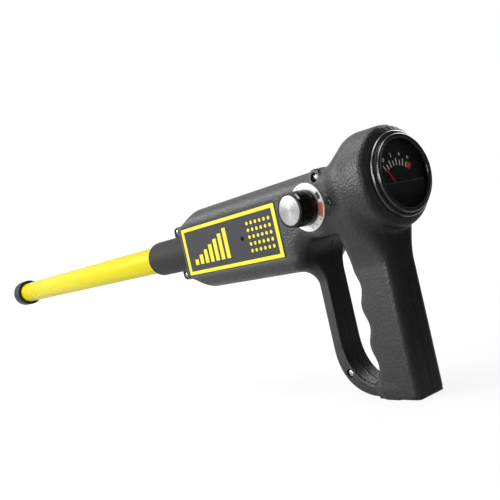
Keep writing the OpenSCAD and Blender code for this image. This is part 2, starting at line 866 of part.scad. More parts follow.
module gauge_needle() {
  hub_r = 2.6;
  color([0.80, 0.10, 0.08])
    translate([needle_x, 0, pivot_z])
      rotate([needle_lean, 0, 0])
        rotate([90, 0, 90])
          linear_extrude(needle_t)
            difference() {
              union() {
                polygon([
                  [-1.3, -5], [1.3, -5], [0.95, 0], [0.7, needle_len], [-0.7, needle_len], [-0.95, 0]]);
                circle(hub_r);
              }
              circle(spindle_r + run);
            }
}

module needle_spindle() {
  color([0.70, 0.70, 0.68])
    along_x(dial_x - dial_t - move_len + 2, pivot_z) cylinder(r = spindle_r, h = needle_x + needle_t + 0.3
      - (dial_x - dial_t - move_len + 2));
}

module gauge_movement() {
  z0 = pod_h - sqrt(pow(can_r - can_wall - gap, 2) - pow(move_w / 2, 2));
  color([0.55, 0.40, 0.25])
    difference() {
      translate([dial_x - dial_t - move_len, -move_w / 2, z0])
        cube([move_len, move_w, pivot_z + move_up - z0]);
      along_x(dial_x - dial_t - move_len + 1.5, pivot_z) cylinder(r = spindle_r + run, h = move_len);
    }
}

module gauge_gasket() {
  color([0.08, 0.08, 0.08])
    along_x(seat_x, pod_h) ring(bezel_r - 1, can_r + gap, gasket_t);
}

// U-shaped strap that pulls the gauge against the pod's rear wall
module gauge_clamp() {
  inner = pod_rim_x - 0.5;
  color([0.62, 0.62, 0.60])
    difference() {
      translate([clamp_x - clamp_t, -clamp_hw, pod_h - clamp_w / 2])
        cube([inner - clamp_x + clamp_t, 2 * clamp_hw, clamp_w]);
      translate([clamp_x, -clamp_hw + clamp_t, pod_h - clamp_w])
        cube([inner - clamp_x + 1, 2 * (clamp_hw - clamp_t), 2 * clamp_w]);
      for (s = [-1, 1])
        along_x(clamp_x - clamp_t - 1, pod_h, s * stud_y) cylinder(r = stud_r + gap, h = clamp_t + 2);
    }
}

module gauge_studs() {
  color([0.72, 0.60, 0.30])
    for (s = [-1, 1])
      along_x(clamp_x - clamp_t - 6, pod_h, s * stud_y) {
        cylinder(r = stud_r, h = can_front - clamp_x + clamp_t + 6 + can_wall + eps);
        translate([0, 0, can_front - clamp_x + clamp_t + 6 + can_wall]) cylinder(r = stud_r + 1.5, h = 1.5);
      }
}

module gauge_nuts() {
  color([0.72, 0.60, 0.30])
    for (s = [-1, 1])
      along_x(clamp_x - clamp_t - 3, pod_h, s * stud_y)
        difference() {
          cylinder(r = stud_r + 2, h = 3, $fn = 6);
          translate([0, 0, -1]) cylinder(r = stud_r + run, h = 5);
        }
}

// Electronics

module circuit_board() {
  color([0.10, 0.35, 0.18])
    difference() {
      translate([board_x, board_y, board_z - board_h / 2]) cube([board_len, board_t, board_h]);
      for (p = board_corners)
        translate([p[0], board_y - 1, p[1]]) rotate([-90, 0, 0]) cylinder(r = screw_r + gap, h = board_t + 2);
    }
}

module board_parts() {
  color([0.12, 0.12, 0.13]) {
    // shielded coils
    for (k = [0:2])
      translate([board_x + board_len * (0.19 + 0.135 * k), board_y - coil_t, board_z - coil_t])
        cube([coil_w, coil_t, coil_w]);
    // integrated circuits
    for (k = [0:1])
      translate([board_x + board_len * (0.615 + 0.155 * k), board_y - chip_t, board_z - chip_h / 3])
        cube([chip_w, chip_t, chip_h]);
    // capacitors
    for (k = [0:2])
      translate([board_x + board_len * (0.23 + 0.125 * k), board_y, board_z + board_h / 4])
        rotate([90, 0, 0]) cylinder(r = capacitor_r + k / 2, h = capacitor_h);
  }
}

module board_screws() {
  color([0.80, 0.80, 0.78])
    for (p = board_corners)
      on_left(p[0], p[1], -board_y) pan_screw(screw_r - 0.4, board_screw_len, head_r, board_head_h);
}

module sounder() {
  thick = 8;
  color([0.09, 0.09, 0.09])
    on_left(-sounder_x, axis_h - 1, side_y - wall - thick)
      difference() {
        cylinder(r = sounder_r, h = thick);
        translate([0, 0, thick - 2]) cylinder(r = 2.2, h = 3);
      }
}

// Power supply in the grip

// Spine with shelves that carries the batteries
module battery_tray() {
  color([0.15, 0.15, 0.16]) {
    translate([tray_x, -bay_hw + 1, door_t]) cube([tray_t, 2 * bay_hw - 2, bay_top - door_t - 0.5]);
    for (k = [0:cell_count])
      translate([-tray_x, -bay_hw + 1, door_t + k * cell_pitch])
        cube([2 * tray_x + eps, 2 * bay_hw - 2, tray_t]);
  }
}

module batteries() {
  color([0.55, 0.50, 0.20])
    for (k = [0:cell_count - 1])
      translate([0, 0, door_t + tray_t + k * cell_pitch])
        linear_extrude(cell_h) round_square(cell_d, cell_w - 0.2, 2);
}

module battery_snaps() {
  color([0.10, 0.10, 0.10])
    for (k = [0:cell_count - 1])
      translate([0, 0, door_t + tray_t + cell_h + k * cell_pitch])
        linear_extrude(snap_t) round_square(cell_d - 3, cell_w - 3, 2);
}

battery_route = [
  [-7.45, 0, bay_top - 6.7],
  [-10.4, 0, bay_top - 6.4],
  [-11.7, 0, bay_top - 3],
  [-11, 4, bay_top + 4],
  [-11, 7, ceiling + 0.6],
  [-16, 8, ceiling + 3.2],
  [-40, 8, ceiling + 4],
  [-guard_x - lead_bend, board_y, ceiling + 4],
  [board_x + board_len - 2, board_y - 1.3, board_z - 8],
  [board_x + board_len - 8, board_y - 1.3, board_z - 8]
];

module battery_lead() {
  color([0.65, 0.08, 0.07]) lead(battery_route, 1);
}

gauge_route = [
  [clamp_x - clamp_t - 6.3, stud_y, pod_h],
  [clamp_x - clamp_t - 10, stud_y, pod_h],
  [-44, 9, pod_h - 1],
  [-guard_x - lead_bend + 2, board_y - 1, pod_h - 4],
  [board_x + board_len - 2, board_y - 1.3, board_z + 8],
  [board_x + board_len - 8, board_y - 1.3, board_z + 8]
];

module gauge_lead() {
  color([0.85, 0.75, 0.10]) lead(gauge_route, 1);
}

module battery_door() {
  color([0.18, 0.18, 0.19])
    difference() {
      linear_extrude(door_t)
        translate([(door_back - door_front) / 2, 0])
          round_square(door_back + door_front - 2 * gap, 2 * door_hw - 2 * gap, 3);
      for (s = [-1, 1])
        translate([-door_screw_x, s * door_screw_y, -1]) {
          cylinder(r = screw_r - 0.2 + gap, h = door_t + 2);
          cylinder(r = 2.6 + gap, h = 2.6);
        }
    }
}

module door_screws() {
  color([0.80, 0.80, 0.78])
    for (s = [-1, 1])
      translate([-door_screw_x, s * door_screw_y, 1.6])
        rotate([180, 0, 0]) pan_screw(screw_r - 0.2, 9, 2.6, 1.4);
}

left_shell();
right_shell();
case_screws();
side_label();
front_collar();
antenna_tube();
tip_cap();
ferrite_rod();
antenna_coil();
rod_spacers();
antenna_lead();
dial_plate();
knob_body();
knob_disc();
knob_index();
knob_set_screw();
control_shaft();
control_body();
control_nut();
gauge_bezel();
gauge_glass();
gauge_can();
gauge_dial();
gauge_mask();
gauge_needle();
needle_spindle();
gauge_movement();
gauge_gasket();
gauge_clamp();
gauge_studs();
gauge_nuts();
circuit_board();
board_parts();
board_screws();
sounder();
battery_tray();
batteries();
battery_snaps();
battery_lead();
gauge_lead();
battery_door();
door_screws();
pod_screw();
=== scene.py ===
"""Hand-held cable locator: the finishes and fine shapes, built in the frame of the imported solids."""
import math

import bmesh
import bpy
import numpy as np
from mathutils import Matrix, Vector


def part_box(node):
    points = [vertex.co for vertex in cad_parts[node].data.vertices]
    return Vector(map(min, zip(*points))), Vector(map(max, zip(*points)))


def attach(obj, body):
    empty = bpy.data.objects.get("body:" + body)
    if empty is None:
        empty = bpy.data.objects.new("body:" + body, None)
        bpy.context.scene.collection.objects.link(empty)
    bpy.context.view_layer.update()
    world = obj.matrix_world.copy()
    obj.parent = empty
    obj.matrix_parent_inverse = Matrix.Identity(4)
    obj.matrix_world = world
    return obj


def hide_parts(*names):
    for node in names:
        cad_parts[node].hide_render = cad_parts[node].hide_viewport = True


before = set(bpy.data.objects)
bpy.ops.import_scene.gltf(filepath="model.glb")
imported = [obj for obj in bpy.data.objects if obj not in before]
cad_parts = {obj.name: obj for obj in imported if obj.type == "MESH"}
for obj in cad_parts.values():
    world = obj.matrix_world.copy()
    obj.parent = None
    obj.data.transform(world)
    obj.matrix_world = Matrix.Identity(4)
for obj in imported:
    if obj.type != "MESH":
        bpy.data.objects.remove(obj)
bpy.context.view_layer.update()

# Measures: lengths are in millimetres until a mesh is made
MM = 0.001
TURN = 2 * math.pi


def span(node):
    """Lowest and highest corner of a solid, in millimetres."""
    low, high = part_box(node)
    return np.array(low) / MM, np.array(high) / MM


TUBE_LOW, TUBE_HIGH = span("antenna_tube")
AXIS_Z = (TUBE_LOW[2] + TUBE_HIGH[2]) / 2
TUBE_R = (TUBE_HIGH[2] - TUBE_LOW[2]) / 2
PLATE_LOW, PLATE_HIGH = span("dial_plate")
PLATE_R = (PLATE_HIGH[0] - PLATE_LOW[0]) / 2
SIDE_Y = -PLATE_HIGH[1]
KNOB_X = (PLATE_LOW[0] + PLATE_HIGH[0]) / 2
KNOB_Z = (PLATE_LOW[2] + PLATE_HIGH[2]) / 2
BEZEL_LOW, BEZEL_HIGH = span("gauge_bezel")
BEZEL_R = (BEZEL_HIGH[2] - BEZEL_LOW[2]) / 2
POD_Z = (BEZEL_LOW[2] + BEZEL_HIGH[2]) / 2

# Housing
BODY_H = 71.0
BODY_LOW = AXIS_Z - 1.0 - BODY_H / 2
BODY_HIGH = BODY_LOW + BODY_H
BODY_MID = (BODY_LOW + BODY_HIGH) / 2
EDGE_R = 11.0
WALL = 3.0
NECK_WALL = 6.0
NOSE_X = 208.0
LUG_X = NOSE_X - 5.0
SLOPE_X = LUG_X - 18.0
EAR_X = NOSE_X + 5.5
EAR_R = 4.6
EAR_UP = AXIS_Z + 19.6
EAR_DOWN = AXIS_Z - 21.0
LUG_HALF = 10.0
LUG_BLEND = 3.0
NOTCH_HALF = 20.0
NOTCH_R = 2.0
NOTCH_EDGE = 0.8
NOSE_EDGE = 3.0
WINDOW_TOP = AXIS_Z - 14.0
WINDOW_R = 15.0
WINDOW_EDGE = 1.6
TAIL_LEFT = 10.0
TAIL_RIGHT = 26.0
TAIL_MIX = 8.0
TAIL_START = 2.0
TAIL_RUN = 30.0
POD_R = 36.0
POD_TAPER = 1.0
POD_RIM_X = 25.5
POD_FRONT = -6.0
POD_BACK = 29.1
POD_SHOULDER = 12.0
POD_RIM_R = 2.5
POD_BACK_EDGE = 0.4
POD_CONE_R = BEZEL_R + 0.3
POD_BLEND = 5.0
POD_BLEND_MORE = 4.0
POD_BLEND_Z = 140.0
POD_BLEND_RUN = 25.0
GRIP_W = 32.0
GRIP_BACK = 15.8
GRIP_RIDGE = 22.8
GRIP_CORNER = 8.0
GRIP_TOP = WINDOW_TOP + 27.0
GRIP_BLEND = 8.0
GRIP_BLEND_LEAST = 0.3
GRIP_BLEND_Y = 18.0
GRIP_BLEND_RUN = 10.0
BASE_EDGE = 2.4
GROOVE_DEPTH = 3.8
GROOVE_PITCH = 29.0
GROOVE_Z = 24.5
GROOVES_TOP = GROOVE_Z + 2.5 * GROOVE_PITCH
NECK_Z0 = WINDOW_TOP - 29.0
NECK_H = 46.0
NECK_CORNER = 9.0
NECK_START = 32.0
NECK_RUN = 18.0
NECK_AT = (12.0, WINDOW_TOP - 5.0)
NECK_CORE = 10.0
NECK_FADE = 14.0
GUARD_X = 52.5
GUARD_OUT = 62.5
GUARD_HALF = 11.0
GUARD_ROOT = 22.0
GUARD_FOOT = 8.5
GUARD_EDGE = 2.2
GUARD_END = 8.0
GUARD_TOP = BODY_LOW + 11.0
GUARD_BLEND = 14.0
BEND_OUT = 38.0
BEND_IN = 44.0
BEND_IN_END = GUARD_ROOT - 2.0
BEND_POWER = 2 / 0.87
NEVER_NIL = 0.01
SEAM = 0.08
SEAM_EDGE = 0.6
CELL = 1.03


# Fields: distance to a surface, negative inside


def ease(t):
    """Smooth step from 0 to 1."""
    t = np.clip(t, 0, 1)
    return t * t * (3 - 2 * t)


def round_box(u, v, half_u, half_v, r):
    """Distance to a rectangle with corners of radius r."""
    du = np.abs(u) - (half_u - r)
    dv = np.abs(v) - (half_v - r)
    outside = np.hypot(np.maximum(du, 0), np.maximum(dv, 0))
    return outside + np.minimum(np.maximum(du, dv), 0) - r


def joined(a, b, r):
    """Either of two bodies, with a hollow fillet of radius r where they meet."""
    fillet = np.hypot(np.maximum(r - a, 0), np.maximum(r - b, 0))
    return np.maximum(r, np.minimum(a, b)) - fillet


def shared(a, b, r):
    """What two bodies share, with the edge between them rounded to radius r."""
    edge = np.hypot(np.maximum(a + r, 0), np.maximum(b + r, 0))
    return np.minimum(-r, np.maximum(a, b)) + edge


def past_line(x, z, start, end):
    """Distance of (x, z) to the left of the line from start to end."""
    along = np.subtract(end, start) / np.hypot(*np.subtract(end, start))
    return (z - start[1]) * along[0] - (x - start[0]) * along[1]


def bend(x, z, x0, x1, z0, z1):
    """The region behind an upright line at -x1 that sweeps as a superellipse into a level line at z0."""
    u = np.maximum(-x0 - x, NEVER_NIL)
    v = np.maximum(z1 - z, NEVER_NIL)
    reach = ((u / (x1 - x0)) ** BEND_POWER + (v / (z1 - z0)) ** BEND_POWER) ** (1 / BEND_POWER)
    return np.hypot(u, v) * (1 - 1 / reach)


def neck_half(z):
    """Half width of the neck: the grip's width low down, growing smoothly to the barrel's."""
    return GRIP_W / 2 + (SIDE_Y - GRIP_W / 2) * ease((z - NECK_Z0) / NECK_H)


def barrel(x, y, z):
    """A round-edged section run from nose to pod: slopes, then lugs with round ears and a notch between."""
    section = round_box(y, z - BODY_MID, SIDE_Y, BODY_H / 2, EDGE_R)
    upper = past_line(x, z, (-LUG_X, EAR_UP + EAR_R), (-SLOPE_X, BODY_HIGH))
    lower = past_line(x, z, (-SLOPE_X, BODY_LOW), (-LUG_X, EAR_DOWN - EAR_R))
    slopes = np.maximum(np.maximum(upper, lower), -LUG_X - x)
    ears_mid = (EAR_UP + EAR_DOWN) / 2
    ears_half = (EAR_UP - EAR_DOWN) / 2
    lugs = round_box(x + EAR_X - LUG_HALF, z - ears_mid, LUG_HALF + EAR_R, ears_half + EAR_R, EAR_R)
    side = joined(slopes, lugs, LUG_BLEND)
    notch = round_box(x + NOSE_X + NOTCH_HALF, z - ears_mid, NOTCH_HALF, ears_half - EAR_R, NOTCH_R)
    nose = shared(shared(section, side, NOSE_EDGE), -notch, NOTCH_EDGE)
    in_neck = ease((x + NECK_START) / NECK_RUN)
    flank = np.abs(y) - SIDE_Y - (neck_half(z) - SIDE_Y) * in_neck
    return shared(np.maximum(nose, flank), x - GRIP_BACK, GRIP_CORNER + NECK_CORNER)


def guard(x, y, z):
    """A flat band that drops from the barrel and sweeps round into the grip's base."""
    outer = bend(x, z, GUARD_ROOT, GUARD_OUT, 0, BEND_OUT)
    band = shared(outer, np.abs(y) - GUARD_HALF, GUARD_EDGE)
    return np.maximum(band, np.maximum(x + GUARD_END, z - GUARD_TOP))


def finger_window(x, z):
    """Side view of the finger window: a round corner under the deck, the guard's inner sweep below."""
    reach = 100.0
    top = round_box(x + GUARD_X - reach, z - WINDOW_TOP + reach, reach, reach, WINDOW_R)
    return np.maximum(top, bend(x, z, BEND_IN_END, GUARD_X, GUARD_FOOT, BEND_IN))


def grip(x, y, z):
    """A round-cornered section with three finger grooves that widens into a neck under the deck."""
    wave = 0.5 + 0.5 * np.cos(TURN * (z - GROOVE_Z) / GROOVE_PITCH)
    wave = np.where(z > GROOVES_TOP, 0, wave)
    front = GRIP_RIDGE - GROOVE_DEPTH * wave
    corner = GRIP_CORNER + NECK_CORNER * ease((z - NECK_Z0) / NECK_H)
    section = round_box(x - (GRIP_BACK - front) / 2, y, (GRIP_BACK + front) / 2, neck_half(z), corner)
    return np.maximum(shared(section, -z, BASE_EDGE), z - GRIP_TOP)


def pod(x, y, z):
    """A turned drum about the gauge's axis: round front shoulder, slight taper, crisp rim, short cone."""
    r = np.hypot(y, z - POD_Z)
    side = r - POD_R - POD_TAPER * (POD_RIM_X - x) / (POD_RIM_X - POD_FRONT)
    drum = shared(side, POD_FRONT - x, POD_SHOULDER)
    cone = past_line(r, x, (POD_R, POD_RIM_X), (POD_CONE_R, POD_BACK))
    return shared(shared(drum, -cone, POD_RIM_R), x - POD_BACK, POD_BACK_EDGE)


def housing_form(x, y, z):
    """Barrel and guard less the finger window, joined to grip and pod by fillets of changing radius."""
    window = -finger_window(x, z)
    tail_r = TAIL_LEFT + (TAIL_RIGHT - TAIL_LEFT) * ease((y + TAIL_MIX) / (2 * TAIL_MIX))
    in_tail = 1 - ease((x + GUARD_X - TAIL_START) / TAIL_RUN)
    tail = shared(barrel(x, y, z), window, WINDOW_EDGE + tail_r * in_tail)
    body = shared(joined(tail, guard(x, y, z), GUARD_BLEND), window, WINDOW_EDGE)
    middle = 1 - ease((np.abs(y) - GRIP_BLEND_Y) / GRIP_BLEND_RUN)
    body = joined(body, grip(x, y, z), GRIP_BLEND_LEAST + GRIP_BLEND * middle)
    pod_blend = POD_BLEND + POD_BLEND_MORE * ease((z - POD_BLEND_Z) / POD_BLEND_RUN)
    return np.maximum(joined(body, pod(x, y, z), pod_blend), -z)


# Cuts in the halves: a case screw is (x, z, distance of its seat from the middle plane)

HEAD_R = 2.6
HEAD_H = 2.0
POCKET_R = HEAD_R + 0.8
POCKET_EDGE = 0.3
RIM_BOSS_R = 6.0
RIM_BOSS_SINK = 1.0
RIM_BOSS_EDGE = 1.2
RIM_BOSS_BLEND = 2.0
CASE_SCREWS = (
    (-EAR_X, EAR_UP, SIDE_Y - 3),
    (-EAR_X, EAR_DOWN, SIDE_Y - 3),
    (-20.0, BODY_HIGH - 5.7, SIDE_Y - 4),
    (-GUARD_X + 2.2, 17.5, GUARD_HALF - 2.4),
)
POD_SCREW_LOW, POD_SCREW_HIGH = span("pod_screw")
POD_SCREW = (POD_SCREW_LOW + POD_SCREW_HIGH) / 2
POD_SCREW_R = (POD_SCREW_HIGH[0] - POD_SCREW_LOW[0]) / 2
POD_SCREW_SEAT = 1.4
POD_POCKET_R = POD_SCREW_R + 0.3
POD_POCKET_EDGE = 0.2
DISH_R = 4.9
DISH_OUT = 3.0
DISH_EDGE = 0.4
PLATE_SEAT_R = PLATE_R + 0.8
LABEL_LOW, LABEL_HIGH = span("side_label")
LABEL_MID = (LABEL_LOW + LABEL_HIGH) / 2
LABEL_CORNER = 0.3
SOUND_HOLE = (-116.0, AXIS_Z - 1, 1.8)
DOOR_LOW, DOOR_HIGH = span("battery_door")
DOOR_CORNER = 3.0
DOOR_GAP = 0.2
CAN_R = 25.9
COLLAR_R = 17.6
COLLAR_BED = 20.0
OPENING_GAP = 0.15


def pocket(x, y, z, at_x, at_z, r, seat):
    """A round pocket from the left side inward to the seat's depth."""
    return np.maximum(np.hypot(x - at_x, z - at_z) - r, y + seat)


def housing_shell(x, y, z):
    """The housing's form with a room inside it, and openings for gauge, collar and battery door; the wall is
    thicker in the neck, where the fillet's radius changes fast."""
    form = housing_form(x, y, z)
    from_neck = np.hypot(x - NECK_AT[0], z - NECK_AT[1])
    in_neck = 1 - ease((from_neck - NECK_CORE) / NECK_FADE)
    room = form + WALL + NECK_WALL * in_neck
    at_x, at_z, _ = CASE_SCREWS[2]
    room = np.maximum(room, RIM_BOSS_R - np.hypot(x - at_x, z - at_z))
    shell = np.maximum(form, -room)
    around_gauge = np.hypot(y, z - POD_Z)
    shell = np.maximum(shell, -np.maximum(around_gauge - CAN_R - OPENING_GAP, -x))
    around_tube = np.hypot(y, z - AXIS_Z)
    collar_bed = np.maximum(around_tube - COLLAR_R - OPENING_GAP, x + NOSE_X - COLLAR_BED)
    shell = np.maximum(shell, -collar_bed)
    door_mid = (DOOR_LOW + DOOR_HIGH) / 2
    door_half = (DOOR_HIGH - DOOR_LOW) / 2 + DOOR_GAP
    door = round_box(x - door_mid[0], y, door_half[0], door_half[1], DOOR_CORNER)
    return np.maximum(shell, -np.maximum(door, z - DOOR_HIGH[2]))


def left_half(x, y, z):
    """The half on the knob's side, with its screw pockets, sound hole, label recess and plate seat."""
    shell = housing_shell(x, y, z)
    at_x, at_z, _ = CASE_SCREWS[2]
    boss = shared(np.hypot(x - at_x, z - at_z) - RIM_BOSS_R, RIM_BOSS_SINK - SIDE_Y - y, RIM_BOSS_EDGE)
    shell = joined(shell, np.maximum(boss, y + SIDE_Y - EDGE_R), RIM_BOSS_BLEND)
    for at_x, at_z, seat in CASE_SCREWS:
        shell = shared(shell, -pocket(x, y, z, at_x, at_z, POCKET_R, seat), POCKET_EDGE)
    pod_pocket = pocket(x, y, z, POD_SCREW[0], POD_SCREW[2], POD_POCKET_R, SIDE_Y - POD_SCREW_SEAT)
    shell = shared(shell, -pod_pocket, POD_POCKET_EDGE)
    dish = np.hypot(np.hypot(x - POD_SCREW[0], z - POD_SCREW[2]), y + SIDE_Y + DISH_OUT) - DISH_R
    shell = shared(shell, -dish, DISH_EDGE)
    shell = np.maximum(shell, -pocket(x, y, z, *SOUND_HOLE, SIDE_Y - WALL - 1))
    shell = np.maximum(shell, -pocket(x, y, z, KNOB_X, KNOB_Z, PLATE_SEAT_R, SIDE_Y))
    half = (LABEL_HIGH - LABEL_LOW) / 2 + OPENING_GAP
    recess = round_box(x - LABEL_MID[0], z - LABEL_MID[2], half[0], half[2], LABEL_CORNER)
    shell = np.maximum(shell, -np.maximum(recess, y - LABEL_HIGH[1]))
    return shared(shell, y + SEAM, SEAM_EDGE)


def right_half(x, y, z):
    """The plain half on the far side."""
    return shared(housing_shell(x, y, z), SEAM - y, SEAM_EDGE)


PROBE = 0.02
DAMPING = 0.05


def contoured(field, lines):
    """Skin of a field on a grid of lines: one point in each cell that the surface crosses, set where the
    tangent planes at the crossings of the cell's edges meet best, and one square for each crossed edge."""
    grid = np.ix_(*lines)
    values = field(*grid)
    inside = values < 0
    cells, points, normals, squares = [], [], [], []
    shape = np.array(values.shape)
    for d in range(3):
        low = np.take(inside, range(shape[d] - 1), axis=d)
        high = np.take(inside, range(1, shape[d]), axis=d)
        at = np.argwhere(low != high)
        end = at + np.eye(3, dtype=int)[d]
        v0, v1 = values[tuple(at.T)], values[tuple(end.T)]
        p = np.stack([lines[k][at[:, k]] for k in range(3)], axis=1)
        p[:, d] += v0 / (v0 - v1) * (lines[d][end[:, d]] - lines[d][at[:, d]])
        step = PROBE * np.eye(3)
        slope = np.stack([field(*(p + s).T) - field(*(p - s).T) for s in step], axis=1)
        slope /= np.maximum(np.linalg.norm(slope, axis=1, keepdims=True), 1e-9)
        e, f = np.eye(3, dtype=int)[(d + 1) % 3], np.eye(3, dtype=int)[(d + 2) % 3]
        ring = np.stack([at, at - e, at - e - f, at - f], axis=1)
        ids = np.ravel_multi_index(tuple(np.moveaxis(ring, 2, 0)), tuple(shape))
        outward = low[tuple(at.T)]
        squares.append(np.where(outward[:, None], ids, ids[:, ::-1]))
        cells.append(ids.ravel())
        points.append(np.repeat(p, 4, axis=0))
        normals.append(np.repeat(slope, 4, axis=0))
    cells, points, normals = np.concatenate(cells), np.concatenate(points), np.concatenate(normals)
    used, place = np.unique(cells, return_inverse=True)

    def total(weights):
        """A sum over the crossings of each cell."""
        return np.bincount(place, weights=weights, minlength=len(used))

    count = total(np.ones(len(place)))
    centre = np.stack([total(points[:, k]) for k in range(3)], axis=1) / count[:, None]
    reach = np.einsum("ij,ij->i", normals, points - centre[place])
    pull = np.stack([total(normals[:, k] * reach) for k in range(3)], axis=1)
    planes = np.stack([[total(normals[:, k] * normals[:, m]) for m in range(3)] for k in range(3)])
    planes = np.moveaxis(planes, 2, 0) + DAMPING * np.eye(3)
    moved = centre + np.linalg.solve(planes, pull[:, :, None])[:, :, 0]
    corner = np.stack(np.unravel_index(used, tuple(shape)), axis=1)
    least = np.stack([lines[k][corner[:, k]] for k in range(3)], axis=1)
    most = np.stack([lines[k][np.minimum(corner[:, k] + 1, shape[k] - 1)] for k in range(3)], axis=1)
    lookup = np.searchsorted(used, np.concatenate(squares))
    return np.clip(moved, least, most), lookup


# Meshes


def grid_faces(rows, columns, close_rows=False):
    """Squares between the points of a grid that is stored row by row, each row being a closed ring."""
    i = np.arange(rows if close_rows else rows - 1)
    i, j = (k.ravel() for k in np.meshgrid(i, np.arange(columns), indexing="ij"))
    i2, j2 = (i + 1) % rows, (j + 1) % columns
    return np.stack([i * columns + j, i2 * columns + j, i2 * columns + j2, i * columns + j2], axis=1)


WELD = 1e-7
SLIVER = 1e-8
CREASE = 35


def piece(name, parts, finish, slot, body="housing", stands_for=(), tidy=True):
    """An object from parts (points in millimetres, faces); tidy welds points that coincide and turns the
    faces outward."""
    points, faces, start = [], [], 0
    for part_points, part_faces in parts:
        points.append(part_points)
        groups = [part_faces] if isinstance(part_faces, np.ndarray) else part_faces
        faces += [f + start for f in groups]
        start += len(part_points)
    points = np.concatenate(points) * MM
    loops = np.concatenate([f.ravel() for f in faces])
    sizes = np.concatenate([np.full(len(f), f.shape[1]) for f in faces])
    mesh = bpy.data.meshes.new(name)
    mesh.vertices.add(len(points))
    mesh.vertices.foreach_set("co", points.ravel())
    mesh.loops.add(len(loops))
    mesh.loops.foreach_set("vertex_index", loops)
    mesh.polygons.add(len(sizes))
    mesh.polygons.foreach_set("loop_start", np.concatenate([[0], np.cumsum(sizes)[:-1]]))
    mesh.update(calc_edges=True)
    if tidy:
        loose = bmesh.new()
        loose.from_mesh(mesh)
        bmesh.ops.remove_doubles(loose, verts=loose.verts, dist=WELD)
        bmesh.ops.dissolve_degenerate(loose, edges=loose.edges, dist=SLIVER)
        bmesh.ops.recalc_face_normals(loose, faces=loose.faces)
        loose.to_mesh(mesh)
        loose.free()
    mesh.validate()
    mesh.shade_smooth()
    mesh.set_sharp_from_angle(angle=math.radians(CREASE))
    mesh.materials.append(finish)
    made = bpy.data.objects.new(name, mesh)
    bpy.context.scene.collection.objects.link(made)
    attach(made, body)
    if stands_for:
        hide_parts(*stands_for)


def skin(node, parts, slot, body="housing", tidy=True):
    """The piece that stands for one solid, in the finish of its slot."""
    piece(node + "_skin", parts, FINISHES[slot], slot, body, [node], tidy)


def filleted(corners, steps=6):
    """An outline from corners (r, h, fillet): each fillet is an arc that touches both its neighbour edges."""
    xy = np.array([c[:2] for c in corners], float)
    out = []
    for k, (_, _, fillet) in enumerate(corners):
        here = xy[k]
        if not fillet:
            out.append(here[None])
            continue
        a, b = xy[k - 1] - here, xy[(k + 1) % len(xy)] - here
        a, b = a / np.linalg.norm(a), b / np.linalg.norm(b)
        half = math.acos(np.clip(a @ b, -1, 1)) / 2
        middle = here + (a + b) / np.linalg.norm(a + b) * fillet / math.sin(half)
        start = here + a * fillet / math.tan(half) - middle
        end = here + b * fillet / math.tan(half) - middle
        sweep = math.atan2(start[0] * end[1] - start[1] * end[0], start @ end)
        t = np.linspace(0, sweep, steps + 1)[:, None]
        out.append(middle + np.cos(t) * start + np.sin(t) * np.array([-start[1], start[0]]))
    return np.concatenate(out)


ALONG_X = np.array([[0, -1, 0], [0, 0, 1], [1, 0, 0]], float)
OUT_LEFT = np.array([[1, 0, 0], [0, 0, 1], [0, -1, 0]], float)
DOWNWARD = np.array([[1, 0, 0], [0, -1, 0], [0, 0, -1]], float)


def turned(outline, centre, axes, steps=96, ring=False):
    """Surface of revolution: each (radius, height) of an outline carried round the third of three axes."""
    a = TURN * np.arange(steps) / steps
    r, h = outline.T
    circle = np.cos(a)[:, None] * axes[0] + np.sin(a)[:, None] * axes[1]
    points = centre + h[:, None, None] * axes[2] + r[:, None, None] * circle
    return points.reshape(-1, 3), grid_faces(len(outline), steps, close_rows=ring)


def inset_outline(outline, by):
    """An outline moved inward: each corner goes along the mitre of its two edges."""
    edge = np.roll(outline, -1, axis=0) - outline
    normal = np.stack([-edge[:, 1], edge[:, 0]], axis=1) / np.linalg.norm(edge, axis=1, keepdims=True)
    before = np.roll(normal, 1, axis=0)
    mitre = (normal + before) / (1 + np.einsum("ij,ij->i", normal, before))[:, None]
    return outline + by * mitre


def slab(outline, bottom, top, bevel, centre, axes):
    """A counterclockwise outline raised from bottom to top, with its upper edge rounded over."""
    a = np.linspace(0, math.pi / 2, 4) if bevel else np.zeros(1)
    insets = np.concatenate([[0], bevel * (1 - np.cos(a))])
    heights = np.concatenate([[bottom], top - bevel + bevel * np.sin(a)])
    n, m = len(outline), len(heights)
    local = np.concatenate([
        np.column_stack([inset_outline(outline, i), np.full(n, h)]) for i, h in zip(insets, heights)])
    caps = [np.arange(n)[None, ::-1], np.arange((m - 1) * n, m * n)[None]]
    return centre + local @ axes, [grid_faces(m, n), *caps]


def rounded_rectangle(width, height, r, steps=5):
    """Counterclockwise outline of a rectangle with round corners."""
    w, h = width / 2, height / 2
    return filleted([(w, -h, r), (w, h, r), (-w, h, r), (-w, -h, r)], steps)


def arc_band(r0, r1, start, end, steps=24):
    """Counterclockwise outline of a part of a flat ring, from angle start to angle end in degrees."""
    a = np.radians(np.linspace(start, end, steps))[:, None]
    circle = np.hstack([np.cos(a), np.sin(a)])
    return np.concatenate([r1 * circle, r0 * circle[::-1]])


def disc_outline(r, end, steps):
    """Counterclockwise outline of a flat disc whose last corner is at angle end in degrees."""
    return arc_band(0, r, 0, end, steps)[:steps]


def around(r, angle):
    """The point at a radius and an angle in degrees."""
    a = math.radians(angle)
    return r * math.cos(a), r * math.sin(a)


def bar(at, angle, length, width):
    """Counterclockwise outline of a small bar with its middle at a point, turned to an angle in degrees."""
    a = math.radians(angle)
    along = np.array([math.cos(a), math.sin(a)])
    across = np.array([-along[1], along[0]])
    corners = np.array([[1, 1], [-1, 1], [-1, -1], [1, -1]]) / 2
    return np.array(at) + corners[:, :1] * length * along + corners[:, 1:] * width * across


